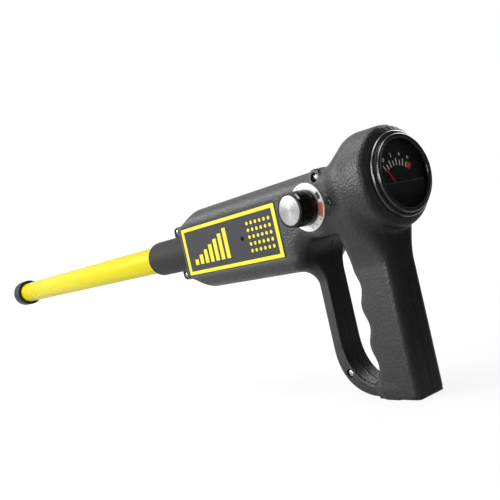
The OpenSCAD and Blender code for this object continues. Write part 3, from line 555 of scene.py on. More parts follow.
def figure(text, size, at, height, centre, axes):
    """A plain number as a thin solid: text laid out by the built-in letters, centred on a point of a face."""
    curve = bpy.data.curves.new("figure", "FONT")
    curve.body = text
    curve.size = size
    curve.align_x = "CENTER"
    curve.align_y = "CENTER"
    curve.resolution_u = 3
    curve.extrude = height / 2
    holder = bpy.data.objects.new("figure", curve)
    mesh = bpy.data.meshes.new_from_object(holder)
    flat = np.empty(len(mesh.vertices) * 3)
    mesh.vertices.foreach_get("co", flat)
    local = flat.reshape(-1, 3) + (*at, height / 2)
    faces = [np.array(p.vertices)[None] for p in mesh.polygons]
    bpy.data.objects.remove(holder)
    bpy.data.curves.remove(curve)
    bpy.data.meshes.remove(mesh)
    return centre + local @ axes, faces


# Finishes


class Wire:
    """A value on its way through a material: an output socket that takes part in arithmetic."""

    def __init__(self, tree, socket=None):
        self.tree = tree
        self.socket = socket

    def node(self, kind, settings=(), sockets=(), out=0):
        """Adds a node: its settings first, then the values or wires of its sockets; gives one output back."""
        made = self.tree.nodes.new(kind)
        for key, value in dict(settings).items():
            setattr(made, key, value)
        for key, value in dict(sockets).items():
            if isinstance(value, Wire):
                self.tree.links.new(value.socket, made.inputs[key])
            else:
                made.inputs[key].default_value = value
        return Wire(self.tree, made.outputs[out])

    def math(self, operation, *others):
        """One step of arithmetic on this value and others."""
        return self.node("ShaderNodeMath", {"operation": operation}, dict(enumerate((self, *others))))

    def __add__(self, other):
        return self.math("ADD", other)

    def __sub__(self, other):
        return self.math("SUBTRACT", other)

    def __rsub__(self, other):
        return self.node("ShaderNodeMath", {"operation": "SUBTRACT"}, {0: other, 1: self})

    def __mul__(self, other):
        return self.math("MULTIPLY", other)

    __radd__ = __add__
    __rmul__ = __mul__


def place_on(w):
    """The piece's own coordinates, in metres."""
    return w.node("ShaderNodeTexCoord", out="Object")


def noise(w, size, detail=2.0, stretch=(1, 1, 1)):
    """Soft noise whose marks are about size millimetres across, drawn out by stretch."""
    at = w.node("ShaderNodeMapping", {}, {"Vector": place_on(w), "Scale": [1 / s for s in stretch]})
    return w.node("ShaderNodeTexNoise", {}, {"Vector": at, "Scale": 1 / (size * MM), "Detail": detail})


def pebbles(w, size):
    """Height of a pebbled skin: rounded cells about size millimetres across."""
    at = place_on(w)
    soft = {"Vector": at, "Scale": 0.7 / (size * MM), "Detail": 0.0}
    wobble = w.node("ShaderNodeTexNoise", {}, soft, out="Color")
    scaled = w.node("ShaderNodeVectorMath", {"operation": "SCALE"}, {0: wobble, "Scale": 0.3 * size * MM})
    moved = w.node("ShaderNodeVectorMath", {"operation": "ADD"}, {0: at, 1: scaled})
    spread = {"Vector": moved, "Scale": 1 / (size * MM)}
    return 1 - w.node("ShaderNodeTexVoronoi", {"feature": "SMOOTH_F1"}, spread)


def grey(value):
    """A colour without a hue."""
    return value, value, value


def ramp(w, value, start, end, first, last):
    """A value carried evenly from the range start to end over to the range first to last, and held there."""
    return w.node("ShaderNodeMapRange", {}, {"Value": value, 1: start, 2: end, 3: first, 4: last})


def tone(w, share, low, high):
    """A colour between two others."""
    return w.node("ShaderNodeMix", {"data_type": "RGBA"}, {0: share, 6: (*low, 1), 7: (*high, 1)}, out=2)


def relief(w, height, depth):
    """Bump of a height map whose full swing is depth millimetres."""
    sockets = {"Height": height, "Strength": 1.0, "Distance": depth * MM}
    return w.node("ShaderNodeBump", {}, sockets, out="Normal")


def new_material(name):
    """An empty material with its output node."""
    material = bpy.data.materials.new(name)
    material.use_nodes = True
    material.node_tree.nodes.clear()
    return material, material.node_tree.nodes.new("ShaderNodeOutputMaterial")


def finish(name, recipe, **constants):
    """A material: recipe gives the sockets that vary over the surface, constants those that don't."""
    material, output = new_material(name)
    w = Wire(material.node_tree)
    shader = w.node("ShaderNodeBsdfPrincipled", {}, {**constants, **recipe(w)})
    material.node_tree.links.new(shader.socket, output.inputs["Surface"])
    return material


WORN_Z = 0.105
FRESH_Z = 0.14
WORN = 0.9
FRESH = 2.0


def moulded(colour, light, grain=1.4, depth=0.18, rough=0.44):
    """Moulded plastic with a pebbled skin, lighter on the tops of the pebbles and worn flatter low down."""
    def recipe(w):
        skin = pebbles(w, grain)
        cloud = noise(w, 14, 3)
        share = skin * 0.55 + noise(w, grain * 0.6, 3) * 0.35 + cloud * 0.2 - 0.1
        height = w.node("ShaderNodeSeparateXYZ", {}, {0: place_on(w)}, out="Z")
        fresh = ramp(w, height, WORN_Z, FRESH_Z, WORN, FRESH)
        return {
            "Base Color": tone(w, share, colour, light),
            "Roughness": rough + (cloud - 0.5) * 0.2 + (0.5 - skin) * 0.35,
            "Normal": relief(w, (skin + noise(w, grain * 0.4, 1) * 0.25) * fresh, depth),
        }
    return recipe


def smooth_plastic(colour, light, rough=0.3, marks=4.0, stretch=(1, 1, 1), depth=0.004):
    """Smooth plastic or paint with a faint change of tone and gloss."""
    def recipe(w):
        cloud = noise(w, marks, 4, stretch)
        fine = noise(w, marks / 12, 2, stretch)
        return {
            "Base Color": tone(w, cloud, colour, light),
            "Roughness": rough + (cloud - 0.5) * 0.15,
            **({"Normal": relief(w, fine, depth)} if depth else {}),
        }
    return recipe


def metal(colour, light, rough=0.25, marks=2.0, stretch=(1, 1, 1), depth=0.004):
    """Bare metal with fine drawing marks."""
    def recipe(w):
        lines = noise(w, marks, 3, stretch)
        return {
            "Base Color": tone(w, lines, colour, light),
            "Roughness": rough + (lines - 0.5) * 0.2,
            "Normal": relief(w, lines, depth),
        }
    return recipe


def spun(colour, light, centre, pitch=0.7, depth=0.002):
    """Metal turned in fine rings about an axis across the part, with a painted sheen: the two bright wedges
    that such rings show are painted into the colour, lightest straight above and below the middle.
    """
    def recipe(w):
        middle = [c * MM for c in centre]
        from_axis = w.node("ShaderNodeVectorMath", {"operation": "SUBTRACT"}, {0: place_on(w), 1: middle})
        flat = w.node("ShaderNodeVectorMath", {"operation": "MULTIPLY"}, {0: from_axis, 1: (1, 0, 1)})
        radius = w.node("ShaderNodeVectorMath", {"operation": "LENGTH"}, {0: flat}, out="Value")
        rings = (radius * (TURN / (pitch * MM))).math("SINE")
        upward = w.node("ShaderNodeSeparateXYZ", {}, {0: flat}, out="Z").math("DIVIDE", radius)
        # Painted sheen: the colour is lightest above and below the middle, standing in for the rings'
        # reflected wedges
        painted_sheen_fans = upward * upward
        return {
            "Base Color": tone(w, painted_sheen_fans * 0.85 + rings * 0.1 + 0.1, colour, light),
            "Roughness": 0.3 + rings * 0.03,
            "Normal": relief(w, rings, depth),
        }
    return recipe


SATIN = {"Specular IOR Level": 0.2}
DULL = {"Specular IOR Level": 0.3}
FINISHES = {
    "housing": finish("pebbled_charcoal", moulded((0.009, 0.009, 0.0095), (0.033, 0.033, 0.0345))),
    "collar": finish(
        "satin_collar", smooth_plastic((0.017, 0.017, 0.018), (0.025, 0.025, 0.027), 0.62, 3, (6, 1, 1)),
        **SATIN),
    "antenna": finish(
        "yellow_tube", smooth_plastic((0.62, 0.54, 0.003), (0.67, 0.585, 0.008), 0.36, 6, (8, 1, 1), 0),
        **{"Specular IOR Level": 0.12}),
    "cap": finish("black_cap", smooth_plastic(grey(0.006), grey(0.014), 0.5, 4, depth=0), **DULL),
    "label": finish(
        "slate_film", smooth_plastic((0.028, 0.028, 0.033), (0.038, 0.038, 0.044), 0.65, 8, depth=0.01),
        **DULL),
    "nickel": finish("bright_nickel", metal((0.62, 0.61, 0.58), (0.82, 0.81, 0.78), 0.2), Metallic=1.0),
    "dark_screw": finish("black_screw", metal(grey(0.03), grey(0.08), 0.35), Metallic=0.6),
    "dial_plate": finish("white_plate", smooth_plastic((0.72, 0.72, 0.7), (0.8, 0.8, 0.78), 0.3, 3)),
    "knob": finish("gloss_black_knob", smooth_plastic(grey(0.005), grey(0.01), 0.26, 5, (1, 4, 1)), **SATIN),
    # The spun disc carries a painted sheen: its two bright wedges are in its colour and turn with the knob
    "knob_disc": finish(
        "spun_disc_painted_sheen", spun((0.25, 0.25, 0.254), (0.5, 0.5, 0.504), (KNOB_X, 0, KNOB_Z)), Metallic=1.0),
    # The knob's white mark is a painted highlight and gives off a faint painted glow of its own
    "index": finish(
        "white_painted_highlight_mark", smooth_plastic(grey(0.78), grey(0.86), 0.35),
        **{"Emission Strength": 0.2, "Emission Color": (*grey(0.8), 1)}),
    "control_metal": finish("plated_steel", metal((0.45, 0.45, 0.44), (0.6, 0.6, 0.59), 0.3), Metallic=1.0),
    "gauge_black": finish(
        "gloss_black_bezel", smooth_plastic(grey(0.006), grey(0.011), 0.26, 8),
        **{"Specular IOR Level": 0.9, "Coat Weight": 1.0, "Coat Roughness": 0.12}),
    "gauge_face": finish("black_face", smooth_plastic((0.006, 0.006, 0.007), (0.011, 0.011, 0.012), 0.55, 2)),
    "needle": finish("red_needle", smooth_plastic((0.52, 0.02, 0.02), (0.6, 0.035, 0.03), 0.4, 2)),
    "brass": finish("plain_brass", metal((0.5, 0.36, 0.12), (0.65, 0.5, 0.2), 0.3), Metallic=1.0),
    "movement": finish("coil_and_magnet", metal((0.16, 0.09, 0.04), (0.26, 0.16, 0.07), 0.4), Metallic=0.5),
    "gasket": finish("black_gasket", smooth_plastic(grey(0.01), grey(0.02), 0.7)),
    "ferrite": finish(
        "sintered_ferrite", moulded((0.015, 0.014, 0.014), (0.03, 0.028, 0.028), 0.5, 0.02, 0.6)),
    "copper": finish(
        "enamelled_copper", metal((0.42, 0.14, 0.04), (0.6, 0.24, 0.08), 0.3, 0.5, (1, 12, 12)),
        Metallic=1.0),
    "spacer": finish("nylon_spacer", smooth_plastic((0.6, 0.57, 0.48), (0.68, 0.65, 0.56), 0.5)),
    "lead_black": finish("black_lead", smooth_plastic(grey(0.008), grey(0.016), 0.5)),
    "lead_red": finish("red_lead", smooth_plastic((0.3, 0.01, 0.01), (0.38, 0.02, 0.015), 0.5)),
    "lead_yellow": finish("yellow_lead", smooth_plastic((0.6, 0.42, 0.01), (0.68, 0.5, 0.02), 0.5)),
    "board": finish("green_board", smooth_plastic((0.01, 0.07, 0.03), (0.015, 0.1, 0.045), 0.35, 2)),
    "board_parts": finish(
        "black_parts", smooth_plastic((0.012, 0.012, 0.013), (0.025, 0.025, 0.026), 0.5, 1)),
    "tray": finish("black_tray", moulded((0.012, 0.012, 0.013), grey(0.03), 1.2, 0.05)),
    "battery": finish("wrapped_cells", smooth_plastic((0.2, 0.16, 0.03), (0.28, 0.22, 0.05), 0.35, 6)),
}
YELLOW_INK = finish("yellow_ink", smooth_plastic((0.74, 0.64, 0.005), (0.8, 0.7, 0.015), 0.4, 3))
# Black ink for print, also used for the painted shade in the sound hole
BLACK_INK_AND_HOLE_SHADE = finish("black_ink_and_hole_shade", smooth_plastic(grey(0.01), grey(0.03), 0.5, 1))
GREY_INK = finish("grey_ink", smooth_plastic((0.03, 0.035, 0.04), (0.06, 0.065, 0.07), 0.5, 1))
ORANGE_INK = finish("orange_ink", smooth_plastic((0.55, 0.12, 0.02), (0.66, 0.17, 0.04), 0.45, 1))
# The scale's white and red ink give off a faint painted glow of their own, standing in for light on the dial
# deep inside the pod
SCALE_GLOW = {"Emission Strength": 0.22}
GLOWING_WHITE_INK = finish("white_ink_painted_glow", smooth_plastic((0.62, 0.62, 0.6), (0.75, 0.75, 0.73), 0.5, 1),
                   **SCALE_GLOW, **{"Emission Color": (0.7, 0.7, 0.68, 1)})
GLOWING_RED_INK = finish("red_ink_painted_glow", smooth_plastic((0.5, 0.03, 0.02), (0.6, 0.05, 0.03), 0.5, 1),
                 **SCALE_GLOW, **{"Emission Color": (0.5, 0.03, 0.02, 1)})
EDGE_INK = finish("mask_edge", smooth_plastic((0.09, 0.09, 0.12), (0.13, 0.13, 0.16), 0.4, 1))


def clear_glass():
    """Flat glass: lets light straight through and mirrors more of it at a low angle."""
    material, output = new_material("clear_glass")
    w = Wire(material.node_tree)
    front = 1 - w.node("ShaderNodeNewGeometry", out="Backfacing")
    share = w.node("ShaderNodeFresnel", {}, {"IOR": 1.4}) * front * (0.9 + noise(w, 10) * 0.2)
    through = w.node("ShaderNodeBsdfTransparent", {}, {"Color": (0.97, 0.98, 0.98, 1)})
    mirrored = w.node("ShaderNodeBsdfGlossy", {}, {"Color": (1, 1, 1, 1), "Roughness": 0.03})
    mixed = w.node("ShaderNodeMixShader", {}, {0: share, 1: through, 2: mirrored})
    material.node_tree.links.new(mixed.socket, output.inputs["Surface"])
    return material


FINISHES["glass"] = clear_glass()

# Finish of each solid that stays as it is
NODE_SLOTS = {
    "control_metal": ["control_shaft", "control_body", "control_nut", "knob_set_screw", "needle_spindle",
                      "gauge_clamp"],
    "gauge_black": ["gauge_can"],
    "movement": ["gauge_movement"],
    "gasket": ["gauge_gasket"],
    "brass": ["gauge_studs", "gauge_nuts"],
    "ferrite": ["ferrite_rod"],
    "copper": ["antenna_coil"],
    "spacer": ["rod_spacers"],
    "lead_black": ["antenna_lead"],
    "lead_red": ["battery_lead"],
    "lead_yellow": ["gauge_lead"],
    "board": ["circuit_board"],
    "board_parts": ["board_parts", "sounder", "battery_snaps"],
    "nickel": ["board_screws", "door_screws"],
    "tray": ["battery_tray"],
    "battery": ["batteries"],
}
for slot_name, node_names in NODE_SLOTS.items():
    for node_name in node_names:
        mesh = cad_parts[node_name].data
        mesh.materials.clear()
        mesh.materials.append(FINISHES[slot_name])

# Housing halves

SHELL_LOW, SHELL_HIGH = span("left_shell")
AROUND = 3.0
LINES_X = np.arange(SHELL_LOW[0] - 2.5, SHELL_HIGH[0] + AROUND, CELL)
LINES_Z = np.arange(-2.6, SHELL_HIGH[2] + AROUND, CELL)
NEAR_SEAM = np.array([-0.6, -0.25, 0.1, 0.4, 0.8, 1.4])
LINES_Y = np.concatenate([NEAR_SEAM, np.arange(2.3, -SHELL_LOW[1] + AROUND, CELL)])
skin("left_shell", [contoured(left_half, (LINES_X, -LINES_Y[::-1], LINES_Z))], "housing", tidy=False)
skin("right_shell", [contoured(right_half, (LINES_X, LINES_Y, LINES_Z))], "housing", tidy=False)

# Antenna

ON_AXIS = np.array([0, 0, AXIS_Z])
TUBE_WALL = 1.8
TUBE_BORE = TUBE_R - TUBE_WALL
TUBE_EDGE = 0.3
COLLAR_LOW, COLLAR_HIGH = span("front_collar")
FLANGE_R = (COLLAR_HIGH[2] - COLLAR_LOW[2]) / 2
COLLAR_STEP = COLLAR_HIGH[0] - 4.0
CAP_LOW, CAP_HIGH = span("tip_cap")
CAP_R = (CAP_HIGH[2] - CAP_LOW[2]) / 2
CAP_FLOOR = CAP_LOW[0] + 3.0
FIT = 0.05
AROUND_TUBE = TUBE_R + FIT
SMOOTH_STEPS = 128

tube_wall = filleted([
    (TUBE_BORE, TUBE_LOW[0], TUBE_EDGE), (TUBE_R, TUBE_LOW[0], TUBE_EDGE),
    (TUBE_R, TUBE_HIGH[0], TUBE_EDGE), (TUBE_BORE, TUBE_HIGH[0], TUBE_EDGE)], 2)
skin("antenna_tube", [turned(tube_wall, ON_AXIS, ALONG_X, SMOOTH_STEPS, ring=True)], "antenna")

collar_wall = filleted([
    (AROUND_TUBE, COLLAR_LOW[0], 0.4), (COLLAR_R, COLLAR_LOW[0], 2.5), (COLLAR_R, COLLAR_STEP, 0),
    (FLANGE_R, COLLAR_STEP, 0.4), (FLANGE_R, COLLAR_HIGH[0], 0.4), (AROUND_TUBE, COLLAR_HIGH[0], 0)])
skin("front_collar", [turned(collar_wall, ON_AXIS, ALONG_X, SMOOTH_STEPS, ring=True)], "collar")

cap_wall = filleted([
    (0, CAP_LOW[0], 0), (CAP_R, CAP_LOW[0], 4), (CAP_R, CAP_HIGH[0], 0.8),
    (AROUND_TUBE, CAP_HIGH[0], 0.3), (AROUND_TUBE, CAP_FLOOR, 0), (0, CAP_FLOOR, 0)])
skin("tip_cap", [turned(cap_wall, ON_AXIS, ALONG_X)], "cap")

# Label

LABEL_LEN = LABEL_HIGH[0] - LABEL_LOW[0]
LABEL_TALL = LABEL_HIGH[2] - LABEL_LOW[2]
LABEL_T = LABEL_HIGH[1] - LABEL_LOW[1]
LABEL_FACE = np.array([LABEL_MID[0], LABEL_LOW[1], LABEL_MID[2]])
HOLE_AT = np.array([SOUND_HOLE[0] - LABEL_MID[0], SOUND_HOLE[1] - LABEL_MID[2]])
MARGIN = 0.7
BORDER = 4.0
RAIL = 3.0
INK_T = 0.04
INK_LIFT = 0.002
HAIR = 0.01
LEVELS = 7
LEVEL_X = -52.0
LEVEL_STEP = 8.2
LEVEL_BASE = -13.0
LEVEL_W = 5.2
LEVEL_LEAST = 5.0
LEVEL_RISE = 21.0
GRID_STEP = 5.6
GRID_X = 10.0
GRID_AT = HOLE_AT + (GRID_X, -2 * GRID_STEP)
GRID_COLUMNS = 6
GRID_ROWS = 5
DOT_R = 1.5
HOLE_SHADE_DEPTHS = (-2.6, -2.4)


def label_ring(rays=48):
    """The label as a ring round the sound hole: on each ray from the hole's middle the inner edge lies on the
    hole's circle and the outer edge on the label's rectangle, and both go through the label's thickness."""
    half = np.array([LABEL_LEN, LABEL_TALL]) / 2
    corners = np.array([(1, 1), (-1, 1), (-1, -1), (1, -1)]) * half - HOLE_AT
    even = TURN * (np.arange(rays) + 0.3) / rays - math.pi
    a = np.sort(np.concatenate([np.arctan2(corners[:, 1], corners[:, 0]), even]))
    ray = np.column_stack([np.cos(a), np.sin(a)])
    reach = ((np.sign(ray) * half - HOLE_AT) / ray).min(axis=1)[:, None]
    inner, outer = HOLE_AT + SOUND_HOLE[2] * ray, HOLE_AT + reach * ray
    rings = [(inner, -LABEL_T), (inner, 0), (outer, 0), (outer, -LABEL_T)]
    local = np.concatenate([np.column_stack([edge, np.full(len(a), h)]) for edge, h in rings])
    return LABEL_FACE + local @ OUT_LEFT, grid_faces(len(rings), len(a), close_rows=True)


def printed(outlines, centre, axes):
    """Flat ink: each outline raised a hair above a face."""
    return [slab(o, INK_LIFT, INK_T, 0, centre, axes) for o in outlines]


skin("side_label", [label_ring()], "label")
edge_l, edge_h = LABEL_LEN / 2 - MARGIN, LABEL_TALL / 2 - MARGIN
border_bars = [
    bar((0, edge_h - RAIL / 2), 0, 2 * edge_l, RAIL),
    bar((0, -edge_h + RAIL / 2), 0, 2 * edge_l, RAIL),
    bar((edge_l - BORDER / 2, 0), 90, 2 * (edge_h - RAIL - HAIR), BORDER),
    bar((-edge_l + BORDER / 2, 0), 90, 2 * (edge_h - RAIL - HAIR), BORDER),
]
level_bars = []
for k in range(LEVELS):
    tall = LEVEL_LEAST + LEVEL_RISE * k / (LEVELS - 1)
    level_bars.append(bar((LEVEL_X + LEVEL_STEP * k, LEVEL_BASE + tall / 2), 90, tall, LEVEL_W))
dots = [GRID_AT + (GRID_STEP * i, GRID_STEP * j) + disc_outline(DOT_R, 345, 24)
        for i in range(GRID_COLUMNS) for j in range(GRID_ROWS)]
piece("label_print", printed(border_bars + level_bars + dots, LABEL_FACE, OUT_LEFT), YELLOW_INK, slot="label")
# Painted shade: a black disc set in the sound hole, a little below the side's face, stands in for the shade
# inside the hole
hole_side = np.array([SOUND_HOLE[0], -SIDE_Y, SOUND_HOLE[1]])
hole_shade_disc = slab(disc_outline(SOUND_HOLE[2], 350, 32), *HOLE_SHADE_DEPTHS, 0, hole_side, OUT_LEFT)
piece("sound_hole_shade", [hole_shade_disc], BLACK_INK_AND_HOLE_SHADE, slot="label")

# Control knob

KNOB_LOW, KNOB_HIGH = span("knob_body")
KNOB_R = (KNOB_HIGH[0] - KNOB_LOW[0]) / 2
KNOB_TALL = KNOB_HIGH[1] - KNOB_LOW[1]
KNOB_TOP_R = KNOB_R - 0.5
KNOB_BORE = 3.05
KNOB_ROOM_R = 8.7
KNOB_ROOM_H = 4.0
DISC_LOW, DISC_HIGH = span("knob_disc")
DISC_R = (DISC_HIGH[0] - DISC_LOW[0]) / 2 - 0.1
DISC_SEAT = KNOB_TALL - 0.7
INDEX_HIGHLIGHT_TURN = 40
INDEX_HIGHLIGHT_HALF = 10.5
PLATE_T = 0.8
PLATE_BORE = 4.65
MARK_R = 15.6
MARK_SIZE = (1.6, 0.6)
ON_KNOB = np.array([KNOB_X, KNOB_HIGH[1], KNOB_Z])
ON_DISC = np.array([KNOB_X, DISC_HIGH[1], KNOB_Z])
PLATE_FACE = np.array([KNOB_X, PLATE_LOW[1], KNOB_Z])

plate_wall = filleted([
    (PLATE_BORE, -PLATE_T, 0), (PLATE_R, -PLATE_T, 0), (PLATE_R, 0, 0.25), (PLATE_BORE, 0, 0)])
skin("dial_plate", [turned(plate_wall, PLATE_FACE, OUT_LEFT, SMOOTH_STEPS, ring=True)], "dial_plate")
marks = [bar(around(MARK_R, a), a, *MARK_SIZE) for a in (-82, -62, -42, 112, 140, 168, 196)]
piece("plate_marks", printed(marks, PLATE_FACE, OUT_LEFT), BLACK_INK_AND_HOLE_SHADE, slot="dial_plate")
dark_zone = arc_band(13.5, 16.6, 14, 34)
piece("plate_dark_zone", printed([dark_zone], PLATE_FACE, OUT_LEFT), GREY_INK, slot="dial_plate")
orange_zone = arc_band(12.9, 16.8, -35, 4)
piece("plate_orange_zone", printed([orange_zone], PLATE_FACE, OUT_LEFT), ORANGE_INK, slot="dial_plate")

knob_wall = filleted([
    (KNOB_ROOM_R, 0, 0), (KNOB_R, 0, 0.5),
    (KNOB_TOP_R + 0.15, KNOB_TALL - 3.4, 0.25), (KNOB_TOP_R - 0.45, KNOB_TALL - 3.2, 0),
    (KNOB_TOP_R - 0.45, KNOB_TALL - 2.6, 0), (KNOB_TOP_R + 0.1, KNOB_TALL - 2.4, 0.25),
    (KNOB_TOP_R, KNOB_TALL, 0.8), (DISC_R + FIT, KNOB_TALL, 0.2), (DISC_R + FIT, DISC_SEAT, 0),
    (KNOB_BORE, DISC_SEAT, 0), (KNOB_BORE, KNOB_ROOM_H, 0), (KNOB_ROOM_R, KNOB_ROOM_H, 0)], 4)
skin("knob_body", [turned(knob_wall, ON_KNOB, OUT_LEFT, SMOOTH_STEPS, ring=True)], "knob", body="knob")
disc_wall = filleted([(0, 0, 0), (DISC_R, 0, 0), (DISC_R, 0.9, 0.2), (0, 0.75, 0)])
skin("knob_disc", [turned(disc_wall, ON_DISC, OUT_LEFT, SMOOTH_STEPS)], "knob_disc", body="knob")
# Painted highlight: a white mark laid along the knob's rim where the rim's highlight falls, drawn as an index
# mark
index_highlight_outline = arc_band(KNOB_R - 1.9, KNOB_R - 0.35, INDEX_HIGHLIGHT_TURN - INDEX_HIGHLIGHT_HALF, INDEX_HIGHLIGHT_TURN + INDEX_HIGHLIGHT_HALF, 9)
index_highlight_block = slab(index_highlight_outline, KNOB_TALL - 2.35, KNOB_TALL - 0.75, 0.1, ON_KNOB, OUT_LEFT)
skin("knob_index", [index_highlight_block], "index", body="knob")

# Gauge

ON_GAUGE = np.array([0, 0, POD_Z])
FACING_BACK = np.array([[0, 1, 0], [0, 0, 1], [1, 0, 0]], float)
FLANGE_X = BEZEL_LOW[0]
STEP_X = FLANGE_X + 2.8
LIP_X = BEZEL_HIGH[0]
RING_R = 27.3
LIP_R = CAN_R - 2.1
GLASS_LOW, GLASS_HIGH = span("gauge_glass")
DIAL_LOW, DIAL_HIGH = span("gauge_dial")
DIAL_R = (DIAL_HIGH[2] - DIAL_LOW[2]) / 2
MASK_FACE = np.array([span("gauge_mask")[1][0], 0, POD_Z])
MASK_LINE = 5.0
MASK_T = 0.7
PIVOT_Z = POD_Z - 14.0
PIVOT_FACE = np.array([DIAL_HIGH[0], 0, PIVOT_Z])
NEEDLE_FACE = np.array([span("gauge_needle")[1][0], 0, PIVOT_Z])
NEEDLE_LEN = 23.3
NEEDLE_T = 0.5
SCALE_END = 33.6
SCALE_R = 20.3
SCALE_TICKS = 9
LONG_TICK = 5.0
SHORT_TICK = 3.8
TICK_W = 0.75
NUMBER_R = 28.0
NUMBER_SIZE = 3.8

bezel_wall = filleted([
    (CAN_R + FIT, FLANGE_X, 0), (BEZEL_R, FLANGE_X, 0.5), (BEZEL_R, STEP_X, 2.0),
    (RING_R, STEP_X, 0.5), (RING_R, LIP_X, 1.7), (LIP_R, LIP_X, 1.7),
    (LIP_R, GLASS_HIGH[0], 0), (CAN_R + FIT, GLASS_HIGH[0], 0)])
skin("gauge_bezel", [turned(bezel_wall, ON_GAUGE, ALONG_X, 160, ring=True)], "gauge_black")
glass_wall = filleted([
    (0, GLASS_LOW[0], 0), (CAN_R, GLASS_LOW[0], 0.2), (CAN_R, GLASS_HIGH[0], 0.2), (0, GLASS_HIGH[0], 0)])
skin("gauge_glass", [turned(glass_wall, ON_GAUGE, ALONG_X, SMOOTH_STEPS)], "glass")
dial_wall = filleted([
    (0, DIAL_LOW[0], 0), (DIAL_R, DIAL_LOW[0], 0), (DIAL_R, DIAL_HIGH[0], 0.15), (0, DIAL_HIGH[0], 0)])
skin("gauge_dial", [turned(dial_wall, ON_GAUGE, ALONG_X, SMOOTH_STEPS)], "gauge_face")

ticks = []
for k in range(SCALE_TICKS - 1):
    angle = 90 + SCALE_END - 2 * SCALE_END * k / (SCALE_TICKS - 1)
    length = LONG_TICK if k % 2 == 0 else SHORT_TICK
    ticks.append(bar(around(SCALE_R + length / 2, angle), angle, length, TICK_W))
piece("gauge_ticks", printed(ticks, PIVOT_FACE, FACING_BACK), GLOWING_WHITE_INK, slot="gauge_face")
red_zone = arc_band(SCALE_R, 25.0, 90 - SCALE_END - 3.5, 90 - SCALE_END + 5.5, 8)
piece("gauge_red_zone", printed([red_zone], PIVOT_FACE, FACING_BACK), GLOWING_RED_INK, slot="gauge_face")
numbers = [figure(text, NUMBER_SIZE, around(NUMBER_R, 90 + angle), INK_T, PIVOT_FACE, FACING_BACK)
           for text, angle in (("0", 27), ("2", 9), ("4", -9), ("6", -27))]
piece("gauge_numbers", numbers, GLOWING_WHITE_INK, slot="gauge_face", tidy=False)

mask_end = math.degrees(math.asin(MASK_LINE / DIAL_R))
mask_outline = arc_band(0, DIAL_R, 180 + mask_end, 360 - mask_end, 64)[:64]
skin("gauge_mask", [slab(mask_outline, -MASK_T, 0, 0.1, MASK_FACE, FACING_BACK)], "gauge_face")
mask_edge = bar((0, -MASK_LINE - 0.5), 0, 44, 0.5)
piece("gauge_mask_edge", printed([mask_edge], MASK_FACE, FACING_BACK), EDGE_INK, slot="gauge_face")

lean = math.radians(SCALE_END)
turn_left = np.array([[math.cos(lean), math.sin(lean)], [-math.sin(lean), math.cos(lean)]])
needle_outline = np.array([
    (1.2, -5), (0.95, 0), (0.75, NEEDLE_LEN - 1), (0, NEEDLE_LEN),
    (-0.75, NEEDLE_LEN - 1), (-0.95, 0), (-1.2, -5)]) @ turn_left
needle_blade = slab(needle_outline, -NEEDLE_T, 0, 0.12, NEEDLE_FACE, FACING_BACK)
skin("gauge_needle", [needle_blade], "needle", body="needle")


# Screws

SHANK_R = 1.5
SHANK_PAST = 10.0
FIRST_TURN = 20
NEXT_TURN = 37
ARM_LEN = 0.6
ARM_W = 0.14


def cross_screw(head_r, head_h, shank_r, shank, seat, axes, turn, steps=72):
    """A pan-head screw: a dome over (radius, angle) with a cross-shaped recess pressed in, and its shank."""
    side = head_h * 0.4
    r = np.concatenate([np.linspace(0, 0.96, 22), [0.985, 1.0, 1.0, 1.0]]) * head_r
    dome = side + (head_h - side) * np.sqrt(np.maximum(1 - (r / head_r) ** 2, 0))
    dome[-2:] = side * 0.5, 0
    a = TURN * np.arange(steps) / steps
    u, v = r[:, None] * np.cos(a), r[:, None] * np.sin(a)
    along, across = np.abs(u), np.abs(v)
    arm_u = np.maximum(along / ARM_LEN, across / ARM_W)
    arm_v = np.maximum(across / ARM_LEN, along / ARM_W)
    recess = 0.55 * head_h * (1 - ease((np.minimum(arm_u, arm_v) / head_r - 0.85) / 0.3))
    spin = math.radians(turn)
    spun_axes = np.array([
        math.cos(spin) * axes[0] + math.sin(spin) * axes[1],
        math.cos(spin) * axes[1] - math.sin(spin) * axes[0],
        axes[2],
    ])
    local = np.stack([u, v, dome[:, None] - recess], axis=2).reshape(-1, 3)
    stem = filleted([(head_r, 0, 0), (shank_r, 0, 0), (shank_r, -shank, shank_r * 0.6), (0, -shank, 0)])
    return [(seat + local @ spun_axes, grid_faces(len(r), steps)), turned(stem, seat, spun_axes, steps)]


screws = []
for k, (x, z, seat) in enumerate(CASE_SCREWS):
    on_seat = np.array([x, -seat, z])
    turn = FIRST_TURN + NEXT_TURN * k
    screws += cross_screw(HEAD_R, HEAD_H, SHANK_R, seat + SHANK_PAST, on_seat, OUT_LEFT, turn)
skin("case_screws", screws, "nickel")
pod_seat = np.array([POD_SCREW[0], POD_SCREW_SEAT - SIDE_Y, POD_SCREW[2]])
pod_screw = cross_screw(POD_SCREW_R, 1.2, 1.0, 1.2, pod_seat, OUT_LEFT, 10, 48)
skin("pod_screw", pod_screw, "dark_screw")

# Battery door

door_centre = np.array([(DOOR_LOW[0] + DOOR_HIGH[0]) / 2, 0, 0])
door_size = DOOR_HIGH - DOOR_LOW
door_outline = rounded_rectangle(door_size[0], door_size[1], DOOR_CORNER)
door_plate = slab(door_outline, -door_size[2], 0, 0.4, door_centre, DOWNWARD)
skin("battery_door", [door_plate], "housing")

# Studio: places in metres


def area_light(name, place, target, size, watts):
    """A soft square lamp at a place, aimed at a target."""
    lamp = bpy.data.lights.new(name, "AREA")
    lamp.size = size
    lamp.energy = watts
    holder = bpy.data.objects.new(name, lamp)
    holder.location = place
    holder.rotation_euler = (Vector(target) - Vector(place)).to_track_quat("-Z", "Y").to_euler()
    bpy.context.scene.collection.objects.link(holder)


